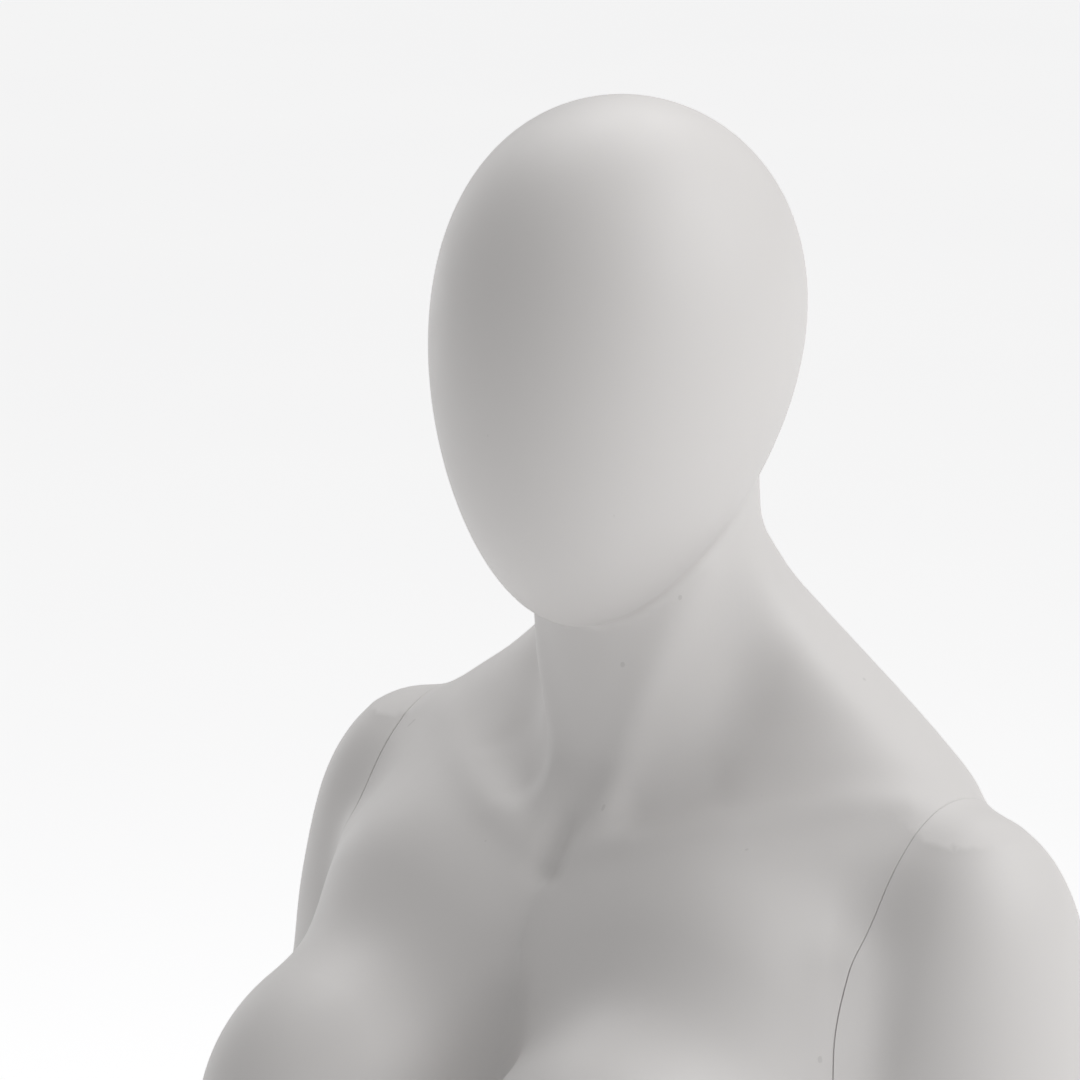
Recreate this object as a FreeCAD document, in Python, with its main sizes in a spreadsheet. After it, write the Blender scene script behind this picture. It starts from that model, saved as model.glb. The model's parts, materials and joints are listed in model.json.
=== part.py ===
import FreeCAD, Part

# Full-body display mannequin of a full-figured woman, standing on a round steel base.
#
# The body is a set of hollow glass-fibre shells that come apart for dressing: the upper torso with neck and
# egg-shaped head, the pelvis with the left leg, the right leg and two arms, and it has two solid hands. Each
# open end is closed by a panel. The panels of the waist, shoulders and wrists carry a socket, a turning bush
# and a keyed spigot; the right leg slides on a bar. A steel rod stands in the base and enters the left calf.
#
# Millimetres. +Z is up, the figure faces -Y and its left side is +X. The origin is the middle of the
# underside of the base.
import math
import os
from FreeCAD import Placement, Rotation, Vector

os.makedirs("parts", exist_ok=True)
doc = FreeCAD.newDocument("mannequin")

# ---------------------------------------------------------------- driving dimensions
DIMENSIONS = [
    ("pad_radius", 205.0, "anti-slip pad under the base"),
    ("pad_thickness", 2.0, ""),
    ("plate_radius", 210.0, "round steel base plate"),
    ("plate_thickness", 6.0, ""),
    ("plate_chamfer", 1.2, "broken upper edge of the plate"),
    ("rod_x", 96.0, "support rod, to the figure's left"),
    ("rod_y", 63.0, "and behind the middle of the base"),
    ("rod_radius", 5.0, ""),
    ("rod_foot", 4.0, "lower end of the rod, let into the plate"),
    ("rod_top", 350.0, "top of the rod above the floor"),
    ("flange_radius", 30.0, "rod holder on the base plate"),
    ("flange_thickness", 5.0, ""),
    ("collar_radius", 11.0, "collar of the rod holder"),
    ("collar_height", 26.0, "including its flange"),
    ("holder_screw_circle", 21.0, "circle of the holder's screws"),
    ("holder_screw_radius", 2.5, ""),
    ("holder_head_radius", 4.2, ""),
    ("holder_head_height", 2.6, ""),
    ("grub_radius", 2.5, "grub screw that clamps the rod"),
    ("calf_tube_radius", 7.0, "socket tube bonded in the left calf"),
    ("calf_tube_bottom", 235.0, ""),
    ("calf_tube_top", 362.0, ""),
    ("wall", 3.5, "thickness of the glass-fibre shells"),
    ("seam_gap", 0.5, "gap between two shells at a seam"),
    ("panel_thickness", 8.0, "closing panel inside an open end"),
    ("panel_recess", 2.0, "panel face behind the seam"),
    ("glue_line", 0.4, "between the rim of a panel and its shell"),
    ("play", 0.05, "radial, in each turning fit"),
    ("flange_face", 0.5, "each fitting flange stands this far from the seam"),
    ("screw_radius", 1.6, "flange screws of the fittings"),
    ("screw_head", 3.2, "countersunk head radius"),
    ("screw_length", 8.0, ""),
    ("magnet_radius", 5.0, "magnets in the shoulder flanges"),
    ("waist_pin", 18.0, "waist fitting: spigot radius"),
    ("waist_cup", 24.0, "socket radius"),
    ("waist_flange", 56.0, "flange radius"),
    ("waist_depth", 46.0, "depth of the socket"),
    ("shoulder_pin", 9.0, "shoulder fitting"),
    ("shoulder_cup", 13.0, ""),
    ("shoulder_flange", 32.0, ""),
    ("shoulder_depth", 38.0, ""),
    ("wrist_pin", 4.5, "wrist fitting"),
    ("wrist_cup", 8.0, ""),
    ("wrist_flange", 13.0, ""),
    ("wrist_depth", 24.0, ""),
    ("bar_width", 28.0, "bar that carries the right leg, front to back"),
    ("bar_height", 16.0, ""),
    ("bar_root", 60.0, "its inner end, from the middle of the figure"),
    ("bar_tip", 165.0, "its outer end"),
    ("tube_tip", 182.0, "outer end of the tube in the thigh"),
    ("tube_wall", 3.0, ""),
    ("hip_flange", 40.0, "radius of the flanges of bar and tube"),
]
dims = doc.addObject("Spreadsheet::Sheet", "dims")
for row, (alias, value, note) in enumerate(DIMENSIONS, start=1):
    dims.set(f"A{row}", alias)
    dims.set(f"B{row}", str(value))
    dims.set(f"C{row}", note)
    dims.setAlias(f"B{row}", alias)
doc.recompute()
SIZE = {alias: value for alias, value, note in DIMENSIONS}

WALL = SIZE["wall"]
HALF_GAP = SIZE["seam_gap"] / 2
RECESS = SIZE["panel_recess"]
FACE = SIZE["flange_face"]
WAIST = 1105.0
X, Y, Z = Vector(1, 0, 0), Vector(0, 1, 0), Vector(0, 0, 1)

# ---------------------------------------------------------------- form of the body
# Each station of the trunk, neck or a limb is a level cross-section:
# height, centre x, half width, centre y, reach forward, reach back, squareness (2 is an ellipse).
TRUNK = [
    (835, 0, 196, 10, 90, 128, 2.2),
    (870, 0, 207, 10, 108, 138, 2.2),
    (910, 0, 211, 8, 122, 142, 2.2),
    (960, 0, 204, 4, 130, 136, 2.2),
    (1010, 0, 191, -2, 131, 124, 2.2),
    (1060, 0, 175, -6, 126, 112, 2.2),
    (1105, 0, 163, -8, 119, 106, 2.2),
    (1150, 0, 157, -8, 114, 106, 2.2),
    (1200, 0, 152, -5, 111, 108, 2.2),
    (1250, 0, 148, 0, 110, 112, 2.2),
    (1300, 0, 144, 6, 111, 116, 2.2),
    (1340, 0, 142, 12, 108, 117, 2.2),
    (1380, 0, 146, 18, 102, 113, 2.2),
    (1415, 0, 156, 22, 95, 106, 2.2),
    (1440, 0, 164, 26, 87, 97, 2.2),
    (1462, 0, 162, 30, 77, 89, 2.1),
    (1480, 0, 152, 36, 66, 81, 2.0),
    (1496, 0, 131, 39, 54, 74, 2.0),
    (1512, 0, 108, 40, 45, 68, 2.0),
    (1530, 0, 86, 38, 39, 60, 2.0),
    (1550, 0, 67, 33, 35, 50, 2.0),
    (1575, 0, 50, 24, 28, 36, 2.0),
    (1600, 0, 34, 14, 18, 24, 2.0),
]
NECK = [
    (1440, 0, 52, 14, 52, 40, 2.0),
    (1470, 0, 50, 14, 52, 42, 2.0),
    (1500, 0, 49, 12, 50, 46, 2.0),
    (1530, 0, 49, 8, 49, 51, 2.0),
    (1560, 0, 49, 4, 48, 54, 2.0),
    (1600, 0, 50, 0, 49, 56, 2.0),
    (1645, 0, 50, -4, 50, 56, 2.0),
]
ARM = [
    (868, 285, 21, -18, 27, 27, 2.0),
    (895, 281, 22, -13, 28, 28, 2.0),
    (930, 274, 26, -7, 31, 31, 2.0),
    (980, 263, 33, 2, 37, 38, 2.0),
    (1030, 251, 38, 13, 42, 44, 2.0),
    (1070, 243, 40, 22, 44, 46, 2.0),
    (1110, 234, 39, 31, 45, 45, 2.0),
    (1150, 226, 41, 35, 46, 47, 2.0),
    (1200, 213, 44, 34, 51, 52, 2.0),
    (1250, 200, 46, 31, 55, 56, 2.0),
    (1300, 187, 47, 28, 58, 59, 2.0),
    (1350, 176, 46, 28, 57, 60, 2.0),
    (1385, 170, 43, 29, 53, 55, 2.0),
    (1415, 167, 33, 30, 40, 42, 2.0),
    (1440, 165, 20, 30, 24, 26, 2.0),
    (1458, 164, 8, 30, 10, 10, 2.0),
]
LEG = [
    (88, 96, 31, 20, 33, 31, 2.0),
    (115, 96, 32, 18, 36, 31, 2.0),
    (145, 96, 32, 17, 35, 31, 2.0),
    (180, 96, 33, 16, 34, 34, 2.0),
    (230, 96, 42, 15, 39, 45, 2.0),
    (290, 96, 54, 13, 46, 60, 2.0),
    (345, 96, 61, 11, 51, 68, 2.0),
    (400, 96, 60, 8, 54, 67, 2.0),
    (450, 96, 56, 3, 55, 60, 2.0),
    (500, 97, 58, -1, 61, 57, 2.0),
    (550, 98, 63, -4, 66, 60, 2.0),
    (610, 100, 72, -5, 76, 71, 2.0),
    (690, 102, 84, -3, 88, 86, 2.0),
    (770, 104, 93, 0, 99, 100, 2.0),
    (830, 105, 97, 4, 103, 108, 2.0),
    (890, 102, 97, 6, 104, 112, 2.0),
]
# soft masses of the left side: centre and radii
BREAST = ((80, -92, 1322), (67, 90, 80))
UPPER_CHEST = ((72, -42, 1392), (72, 52, 62))
DELTOID = ((166, 31, 1396), (48, 57, 84))
BUTTOCK = ((88, 70, 905), (96, 98, 96))
HEEL = ((0, 20, 98), (30, 32, 34))
FOOT_BALL = ((0, -104, 30), (43, 36, 21))
TOE_BOX = ((2, -136, 22), (37, 31, 12))
INSTEP = ((0, 10, 116), (0, -95, 40), 30, 25)  # from, to, and the radius at each

ARMPIT = 1280.0
STRIDE = 24.0  # the right foot stands this far in front of the left
STRIDE_FROM = 870.0
STRIDE_TO = 480.0
FOOT_X = 96.0
TOE_OUT = 0.12

# shoulder seam of the left arm, facing outward; the fitting sits in its middle
SHOULDER_POINT = Vector(152, 26, 1392)
SHOULDER_AXIS = Vector(1, 0, 0)
# wrist seam, across the line of the left forearm
WRIST_POINT = Vector(282, -14, 892)
WRIST_AXIS = Vector(0.205, -0.165, -0.965).normalize()
# seam of the right leg: from the crotch up and out, level from front to back
CROTCH = Vector(-5, 0, 833)
HIP_ANGLE = math.radians(27)
HIP_AXIS = Vector(-math.sin(HIP_ANGLE), 0, -math.cos(HIP_ANGLE))
BAR_X, BAR_Y = -112.0, 4.0
BAR_Z = CROTCH.z + (CROTCH.x - BAR_X) * math.tan(HIP_ANGLE)

# laminated sections of the shells, bonded edge to edge with the joints filled flush
COLLAR = Vector(0, 0, 1496)
JAW, JAW_AXIS = Vector(0, -58, 1562), Vector(0, -0.36, 0.93).normalize()
THIGH_TOP, KNEE = Vector(0, 0, 822), Vector(0, 0, 452)

# egg-shaped head: its long axis leans forward to the chin, and it is turned to the figure's left
HEAD_CENTRE = Vector(4, -25, 1668)
HEAD_HALF_WIDTH = 79.0
HEAD_HALF_DEPTH = 92.0
HEAD_HALF_LENGTH = 118.0
HEAD_TAPER = 0.19
HEAD_LEAN = 24.0
HEAD_TURN = 17.0


def station(table, height):
    """The cross-section at any height, on a smooth curve through the stations."""
    if height <= table[0][0]:
        return table[0]
    if height >= table[-1][0]:
        return table[-1]
    i = next(k for k in range(len(table) - 1) if height <= table[k + 1][0])
    before, low, high, after = (table[min(max(k, 0), len(table) - 1)] for k in (i - 1, i, i + 1, i + 2))
    span = high[0] - low[0]
    t = (height - low[0]) / span
    result = [height]
    for k in range(1, 7):
        rise_low = (high[k] - before[k]) / (high[0] - before[0]) * span
        rise_high = (after[k] - low[k]) / (after[0] - low[0]) * span
        value = (2 * t**3 - 3 * t**2 + 1) * low[k] + (t**3 - 2 * t**2 + t) * rise_low
        value += (3 * t**2 - 2 * t**3) * high[k] + (t**3 - t**2) * rise_high
        result.append(value)
    return result


def limb_distance(table, x, y, z):
    """About how far a point lies outside a limb; negative inside."""
    _, cx, half, cy, front, back, power = station(table, z)
    dx = abs(x - cx)
    dy = y - cy
    reach = front if dy < 0 else back
    share = ((dx / half) ** power + (abs(dy) / reach) ** power) ** (1 / power)
    inside = -min(half, front, back)
    level = inside if share < 1e-6 else math.hypot(dx, dy) * (1 - 1 / share)
    beyond_end = max(table[0][0] - z, z - table[-1][0])
    return max(level, inside, beyond_end)


def ellipsoid_distance(ball, x, y, z):
    (cx, cy, cz), (rx, ry, rz) = ball
    px, py, pz = x - cx, y - cy, z - cz
    share = math.sqrt((px / rx) ** 2 + (py / ry) ** 2 + (pz / rz) ** 2)
    slope = math.sqrt((px / rx**2) ** 2 + (py / ry**2) ** 2 + (pz / rz**2) ** 2)
    if slope < 1e-9:
        return -min(rx, ry, rz)
    return share * (share - 1) / slope


def capsule_distance(capsule, x, y, z):
    start, end, start_radius, end_radius = capsule
    start, end, point = Vector(*start), Vector(*end), Vector(x, y, z)
    along = end - start
    t = min(max((point - start).dot(along) / along.dot(along), 0.0), 1.0)
    return (point - start - along * t).Length - (start_radius + (end_radius - start_radius) * t)


def join(a, b, radius):
    """Union of two distances with a fillet of about that radius."""
    near = max(radius - abs(a - b), 0.0) / radius
    return min(a, b) - near * near * radius / 4


def stride(z):
    """How far forward the right leg is at a height."""
    t = min(max((STRIDE_FROM - z) / (STRIDE_FROM - STRIDE_TO), 0.0), 1.0)
    return STRIDE * t * t * (3 - 2 * t)


def leg_distance(side, x, y, z):
    forward = stride(z) if side < 0 else 0.0
    return limb_distance(LEG, side * x, y + forward, z)


def upper_body(x, y, z):
    """The upper torso, neck and both arms, without the head."""
    x = abs(x)
    d = limb_distance(TRUNK, x, y, z)
    d = join(d, limb_distance(NECK, x, y, z), 22.0)
    d = join(d, ellipsoid_distance(UPPER_CHEST, x, y, z), 45.0)
    d = join(d, ellipsoid_distance(BREAST, x, y, z), 34.0)
    arm = join(limb_distance(ARM, x, y, z), ellipsoid_distance(DELTOID, x, y, z), 20.0)
    above_armpit = min(max((z - ARMPIT) / 60, 0.0), 1.0)
    return join(d, arm, 4.0 + 18.0 * above_armpit)


OVERRUN = 34.0  # torso and arm are drawn this far past the shoulder seam before they are cut there


def beyond_shoulder(x, y, z):
    """How far a point lies outboard of the shoulder seam."""
    return (Vector(abs(x), y, z) - SHOULDER_POINT).dot(SHOULDER_AXIS)


def torso_form(x, y, z):
    return -join(-upper_body(x, y, z), OVERRUN - beyond_shoulder(x, y, z), 25.0)


def arm_form(x, y, z):
    return -join(-upper_body(x, y, z), OVERRUN + beyond_shoulder(x, y, z), 25.0)


def pelvis_form(x, y, z):
    d = join(limb_distance(TRUNK, x, y, z), ellipsoid_distance(BUTTOCK, abs(x), y, z), 40.0)
    legs = min(leg_distance(1, x, y, z), leg_distance(-1, x, y, z))
    return join(d, legs, 18.0)


def left_leg_form(x, y, z):
    return join(leg_distance(1, x, y, z), ellipsoid_distance(BUTTOCK, x, y, z), 30.0)


def right_leg_form(x, y, z):
    return join(leg_distance(-1, x, y, z), ellipsoid_distance(BUTTOCK, -x, y, z), 30.0)


def foot_form(x, y, z):
    """The left foot, standing on its toes as if in a heeled shoe."""
    x -= FOOT_X + (20 - y) * TOE_OUT
    d = join(ellipsoid_distance(HEEL, x, y, z), capsule_distance(INSTEP, x, y, z), 26.0)
    d = join(d, ellipsoid_distance(FOOT_BALL, x, y, z), 20.0)
    return join(d, ellipsoid_distance(TOE_BOX, x, y, z), 14.0)


# ---------------------------------------------------------------- from form to solids
SECTION_POINTS = 36


def ray_radius(form, origin, ray):
    """Distance from an origin inside the form to where the ray first leaves it."""
    low, high = 0.0, 6.0
    while form(*(origin + ray * high)) < 0:
        low = high
        high += 6.0
    for _ in range(14):
        middle = (low + high) / 2
        if form(*(origin + ray * middle)) < 0:
            low = middle
        else:
            high = middle
    return high


def inset_along(form, point, ray, thickness):
    """How far back along the ray a point lies that thickness inside the surface."""
    slope = Vector(*[form(*(point + s * 0.5)) - form(*(point - s * 0.5)) for s in (X, Y, Z)])
    if slope.Length < 1e-9:
        return thickness
    return thickness / max(abs(slope.normalize().dot(ray)), 0.45)


def section(form, centre, thickness=0.0, across=X, up=Y):
    """A closed row of points round the form, a thickness inside its surface."""
    points = []
    for i in range(SECTION_POINTS):
        angle = 2 * math.pi * (i + 0.5) / SECTION_POINTS + math.pi / 2
        ray = across * math.cos(angle) + up * math.sin(angle)
        radius = ray_radius(form, centre, ray)
        if thickness:
            radius -= inset_along(form, centre + ray * radius, ray, thickness)
        points.append(centre + ray * max(radius, 2.0))
    return points


def skin(rows):
    """A solid with one smooth surface through closed rows of points, and flat ends.

    The rows serve as poles of a cubic surface, moved out a little so that it passes through the points.
    """
    count, last = len(rows[0]), len(rows) - 1
    poles = []
    for k in range(count):
        column = []
        for i, row in enumerate(rows):
            bend = row[(k + 1) % count] + row[k - 1] - row[k] * 2
            if 0 < i < last:
                bend += rows[i + 1][k] + rows[i - 1][k] - row[k] * 2
            column.append(row[k] - bend / 6)
        poles.append(column)
    knots = list(range(last - 1))
    ends = [4] + [1] * (last - 3) + [4]
    surface = Part.BSplineSurface()
    surface.buildFromPolesMultsKnots(poles, [1] * (count + 1), ends, list(range(count + 1)), knots,
                                     True, False, 3, 3)
    side = surface.toShape()
    rims = [edge for edge in side.Edges if edge.isClosed()]
    caps = [Part.Face(Part.Wire([rim])) for rim in rims]
    closed = Part.makeCompound([side] + caps)
    closed.sewShape()
    solid = Part.Solid(closed.Shells[0])
    if solid.Volume < 0:
        solid.reverse()
    return solid


def level_centres(table, levels):
    """The middle of each level section of the trunk or a limb."""
    stations = [station(table, z) for z in levels]
    return [Vector(s[1], s[3], z) for s, z in zip(stations, levels)]


def mirrored(shape):
    """The same part for the right side of the body."""
    return shape.mirror(Vector(0, 0, 0), X)


def flipped(v):
    """A vector of the left side, mirrored to the right side."""
    return Vector(-v.x, v.y, v.z)


def block_beyond(point, axis, size=900.0):
    """A large block on the side of a plane that its axis faces."""
    block = Part.makeBox(2 * size, 2 * size, size, Vector(-size, -size, 0))
    block.Placement = Placement(point, Rotation(Z, axis))
    return block


def slab(point, axis, start, thickness, size=400.0):
    """A plate across an axis, from start to start + thickness along it."""
    plate = Part.makeBox(2 * size, 2 * size, thickness, Vector(-size, -size, 0))
    plate.Placement = Placement(point + axis * start, Rotation(Z, axis))
    return plate


def largest(shape):
    """The largest solid of a result."""
    return max(shape.Solids, key=lambda s: s.Volume)


def egg(thickness):
    """The head: an egg, flattened from side to side."""
    attitude = Rotation(Z, HEAD_TURN).multiply(Rotation(X, -HEAD_LEAN))
    half_width, half_depth = HEAD_HALF_WIDTH - thickness, HEAD_HALF_DEPTH - thickness
    rows = []
    for tilt in (5, 12, 22, 34, 46, 58, 70, 82, 94, 106, 118, 130, 142, 154, 165, 175):
        height = -math.cos(math.radians(tilt))
        girth = math.sin(math.radians(tilt)) * (1 + HEAD_TAPER * height)
        row = []
        for k in range(24):
            a = 2 * math.pi * k / 24
            point = Vector(half_width * girth * math.cos(a), half_depth * girth * math.sin(a),
                           (HEAD_HALF_LENGTH - thickness) * height)
            row.append(HEAD_CENTRE + attitude.multVec(point))
        rows.append(row)
    return skin(rows)


def torso_solid(thickness):
    levels = [1075, 1105, 1140, 1175, 1205, 1232, 1258, 1284, 1310, 1335, 1360, 1385, 1408, 1428]
    levels += [1444, 1458, 1470, 1482, 1496, 1512, 1530, 1550, 1572, 1596, 1622]
    return skin([section(torso_form, c, thickness) for c in level_centres(TRUNK, levels)])


def arm_solid(thickness):
    """The left arm, from below the wrist seam to the top of the shoulder."""
    levels = [872, 895, 930, 980, 1030, 1070, 1110, 1150, 1200, 1250, 1295, 1330, 1360, 1388, 1408, 1425]
    rows = [section(arm_form, c, thickness) for c in level_centres(ARM, levels)]
    for x, z in ((163, 1438), (160, 1450), (156, 1460), (152, 1467), (148, 1472), (143, 1476), (136, 1480)):
        row = section(arm_form, Vector(x, 30, z), thickness)
        rows.append([point - Z * thickness for point in row])
    return skin(rows)


def pelvis_solid(thickness):
    levels = [838 + thickness, 852, 868, 888, 915, 945, 980, 1015, 1050, 1080, 1105, 1135]
    return skin([section(pelvis_form, c, thickness) for c in level_centres(TRUNK, levels)])


def leg_solid(side, thickness, bottom):
    form = left_leg_form if side > 0 else right_leg_form
    levels = [115, 145, 180, 230, 290, 345, 400, 450, 500, 550, 610, 680, 745, 785, 812, 832]
    levels = [z for z in levels if z > bottom]
    rows = []
    for c in level_centres(LEG, [bottom] + levels + [850]):
        forward = stride(c.z) if side < 0 else 0.0
        tuck = 3.0 if c.z > 840 else 0.8 if c.z > 810 else 0.0  # the top tucks inside the pelvis
        rows.append(section(form, Vector(side * c.x, c.y - forward, c.z), thickness + tuck))
    return skin(rows)


def foot_solid():
    """The left foot, from heel to toes."""
    stops = [(47, 98), (38, 98), (20, 99), (-8, 98), (-38, 78), (-68, 58), (-92, 40), (-112, 28), (-132, 23)]
    stops += [(-150, 22), (-161, 22)]
    rows = []
    for y, z in stops:
        middle = Vector(FOOT_X + (20 - y) * TOE_OUT, y, z)
        rows.append(section(foot_form, middle, across=X, up=Z))
    return skin(rows)


# ---------------------------------------------------------------- left hand
PALM_FACE = Vector(-1, 0.1, 0)
PALM_FACE = (PALM_FACE - WRIST_AXIS * PALM_FACE.dot(WRIST_AXIS)).normalize()
THUMB_SIDE = WRIST_AXIS.cross(PALM_FACE)
if THUMB_SIDE.y > 0:
    THUMB_SIDE = THUMB_SIDE * -1
# distance from the wrist, half thickness, half breadth, shift to the thumb side
PALM = [(-6, 21, 27, 0), (8, 20, 27.5, 0), (24, 18, 30, 1), (42, 17, 35, 2), (60, 16, 38, 2), (76, 14, 39, 1)]
PALM += [(88, 12, 37, 1), (94, 8, 33, 1)]
# place across the hand, distance of the root from the wrist, length, radius, curl towards the palm
FINGERS = [(27, 84, 70, 9.0, 0.30), (10, 90, 78, 9.2, 0.34), (-8, 87, 72, 8.8, 0.40), (-25, 80, 58, 7.8, 0.46)]


def hand_point(along, palm, thumb):
    """A point given from the wrist: towards the fingers, the palm and the thumb."""
    return WRIST_POINT + WRIST_AXIS * along + PALM_FACE * palm + THUMB_SIDE * thumb


def tapered_tube(points, radii):
    """A solid through rings set square to its path."""
    rows = []
    for i, (point, radius) in enumerate(zip(points, radii)):
        heading = (points[min(i + 1, len(points) - 1)] - points[max(i - 1, 0)]).normalize()
        across = heading.cross(PALM_FACE).normalize()
        up = heading.cross(across)
        angles = [2 * math.pi * k / 12 for k in range(12)]
        rows.append([point + (across * math.cos(a) + up * math.sin(a)) * radius for a in angles])
    return skin(rows)


def palm_solid():
    rows = []
    for along, thick, broad, shift in PALM:
        angles = [2 * math.pi * i / 20 for i in range(20)]
        rows.append([hand_point(along, thick * math.cos(a), shift + broad * math.sin(a)) for a in angles])
    return skin(rows)


def finger_solid(across, root, length, radius, curl):
    shares = (-0.16, 0.15, 0.45, 0.7, 0.88, 0.97, 1.0)
    girths = (0.95, 1.0, 0.94, 0.86, 0.74, 0.52, 0.22)
    points = []
    for share in shares:
        along = length * share
        points.append(hand_point(root + along, curl * along * max(share, 0) - 1.0, across * (1 + 0.06 * share)))
    return tapered_tube(points, [radius * g for g in girths])


def thumb_solid():
    shares = (-0.1, 0.2, 0.5, 0.75, 0.92, 1.0)
    girths = (12.5, 12.5, 11.0, 9.8, 7.2, 2.6)
    points = [hand_point(26 + 58 * s, 5 + 12 * s, 19 + 34 * s - 10 * s * s) for s in shares]
    return tapered_tube(points, girths)


def hand_solid():
    hand = palm_solid().fuse([finger_solid(*f) for f in FINGERS] + [thumb_solid()])
    hand = hand.cut(block_beyond(WRIST_POINT + WRIST_AXIS * HALF_GAP, WRIST_AXIS * -1))
    seat = Part.makeCylinder(SIZE["wrist_flange"] + 0.2, RECESS, WRIST_POINT, WRIST_AXIS)
    return largest(hand.cut(seat))


# ---------------------------------------------------------------- fittings, drawn along their own +Z axis
def feature(name, shape):
    """A document object with a shape made in code."""
    item = doc.addObject("Part::Feature", name)
    item.Shape = shape
    return item


def cylinder(name, radius, bottom, top, x="0", y="0"):
    """An upright cylinder between two heights, all given as expressions."""
    item = doc.addObject("Part::Cylinder", name)
    item.setExpression("Radius", radius)
    item.setExpression("Height", f"({top}) - ({bottom})")
    item.setExpression("Placement.Base.x", x)
    item.setExpression("Placement.Base.y", y)
    item.setExpression("Placement.Base.z", bottom)
    return item


def box(name, low, high):
    """A box between two corners given as expressions."""
    item = doc.addObject("Part::Box", name)
    for size, axis, start, stop in zip(("Length", "Width", "Height"), "xyz", low, high):
        item.setExpression(size, f"({stop}) - ({start})")
        item.setExpression("Placement.Base." + axis, start)
    return item


def fuse(name, items):
    joined = doc.addObject("Part::MultiFuse", name)
    joined.Shapes = items
    return joined


def cut(name, base, tools):
    result = doc.addObject("Part::Cut", name)
    result.Base = base
    result.Tool = tools[0] if len(tools) == 1 else fuse(name + "_tools", tools)
    return result


def frame_at(point, axis):
    """Placement of a fitting: origin in the seam, +Z along the axis, keyway to the top or front."""
    up = Z if abs(axis.z) < 0.9 else Y * -1
    side = up.cross(axis).normalize()
    return Placement(point, Rotation(side, axis.cross(side), axis, "ZXY"))


def ring(count, radius, turn):
    """Positions round a bolt circle."""
    angles = [turn + 2 * math.pi * i / count for i in range(count)]
    return [(radius * math.cos(a), radius * math.sin(a)) for a in angles]


def screw_set(spots, direction, slotted):
    """Countersunk screws at spots on a flange face, pointing along local +Z or -Z."""
    radius, head = SIZE["screw_radius"], SIZE["screw_head"]
    solids = []
    for x, y in spots:
        at = Vector(x, y, FACE * direction)
        shank = Part.makeCylinder(radius, SIZE["screw_length"], at, Z * direction)
        screw = shank.fuse(Part.makeCone(head, radius, head - radius, at, Z * direction))
        if slotted:
            for across, along in ((0.7, head), (head, 0.7)):
                screw = screw.cut(Part.makeBox(across, along, 1.6, at - Vector(across / 2, along / 2, 0.8)))
        solids.append(screw)
    return Part.makeCompound(solids)


def magnet_row(name, spots, bottom, top):
    return [cylinder(f"{name}_{i}", "dims.magnet_radius", bottom, top, str(x), str(y))
            for i, (x, y) in enumerate(spots)]


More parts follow.
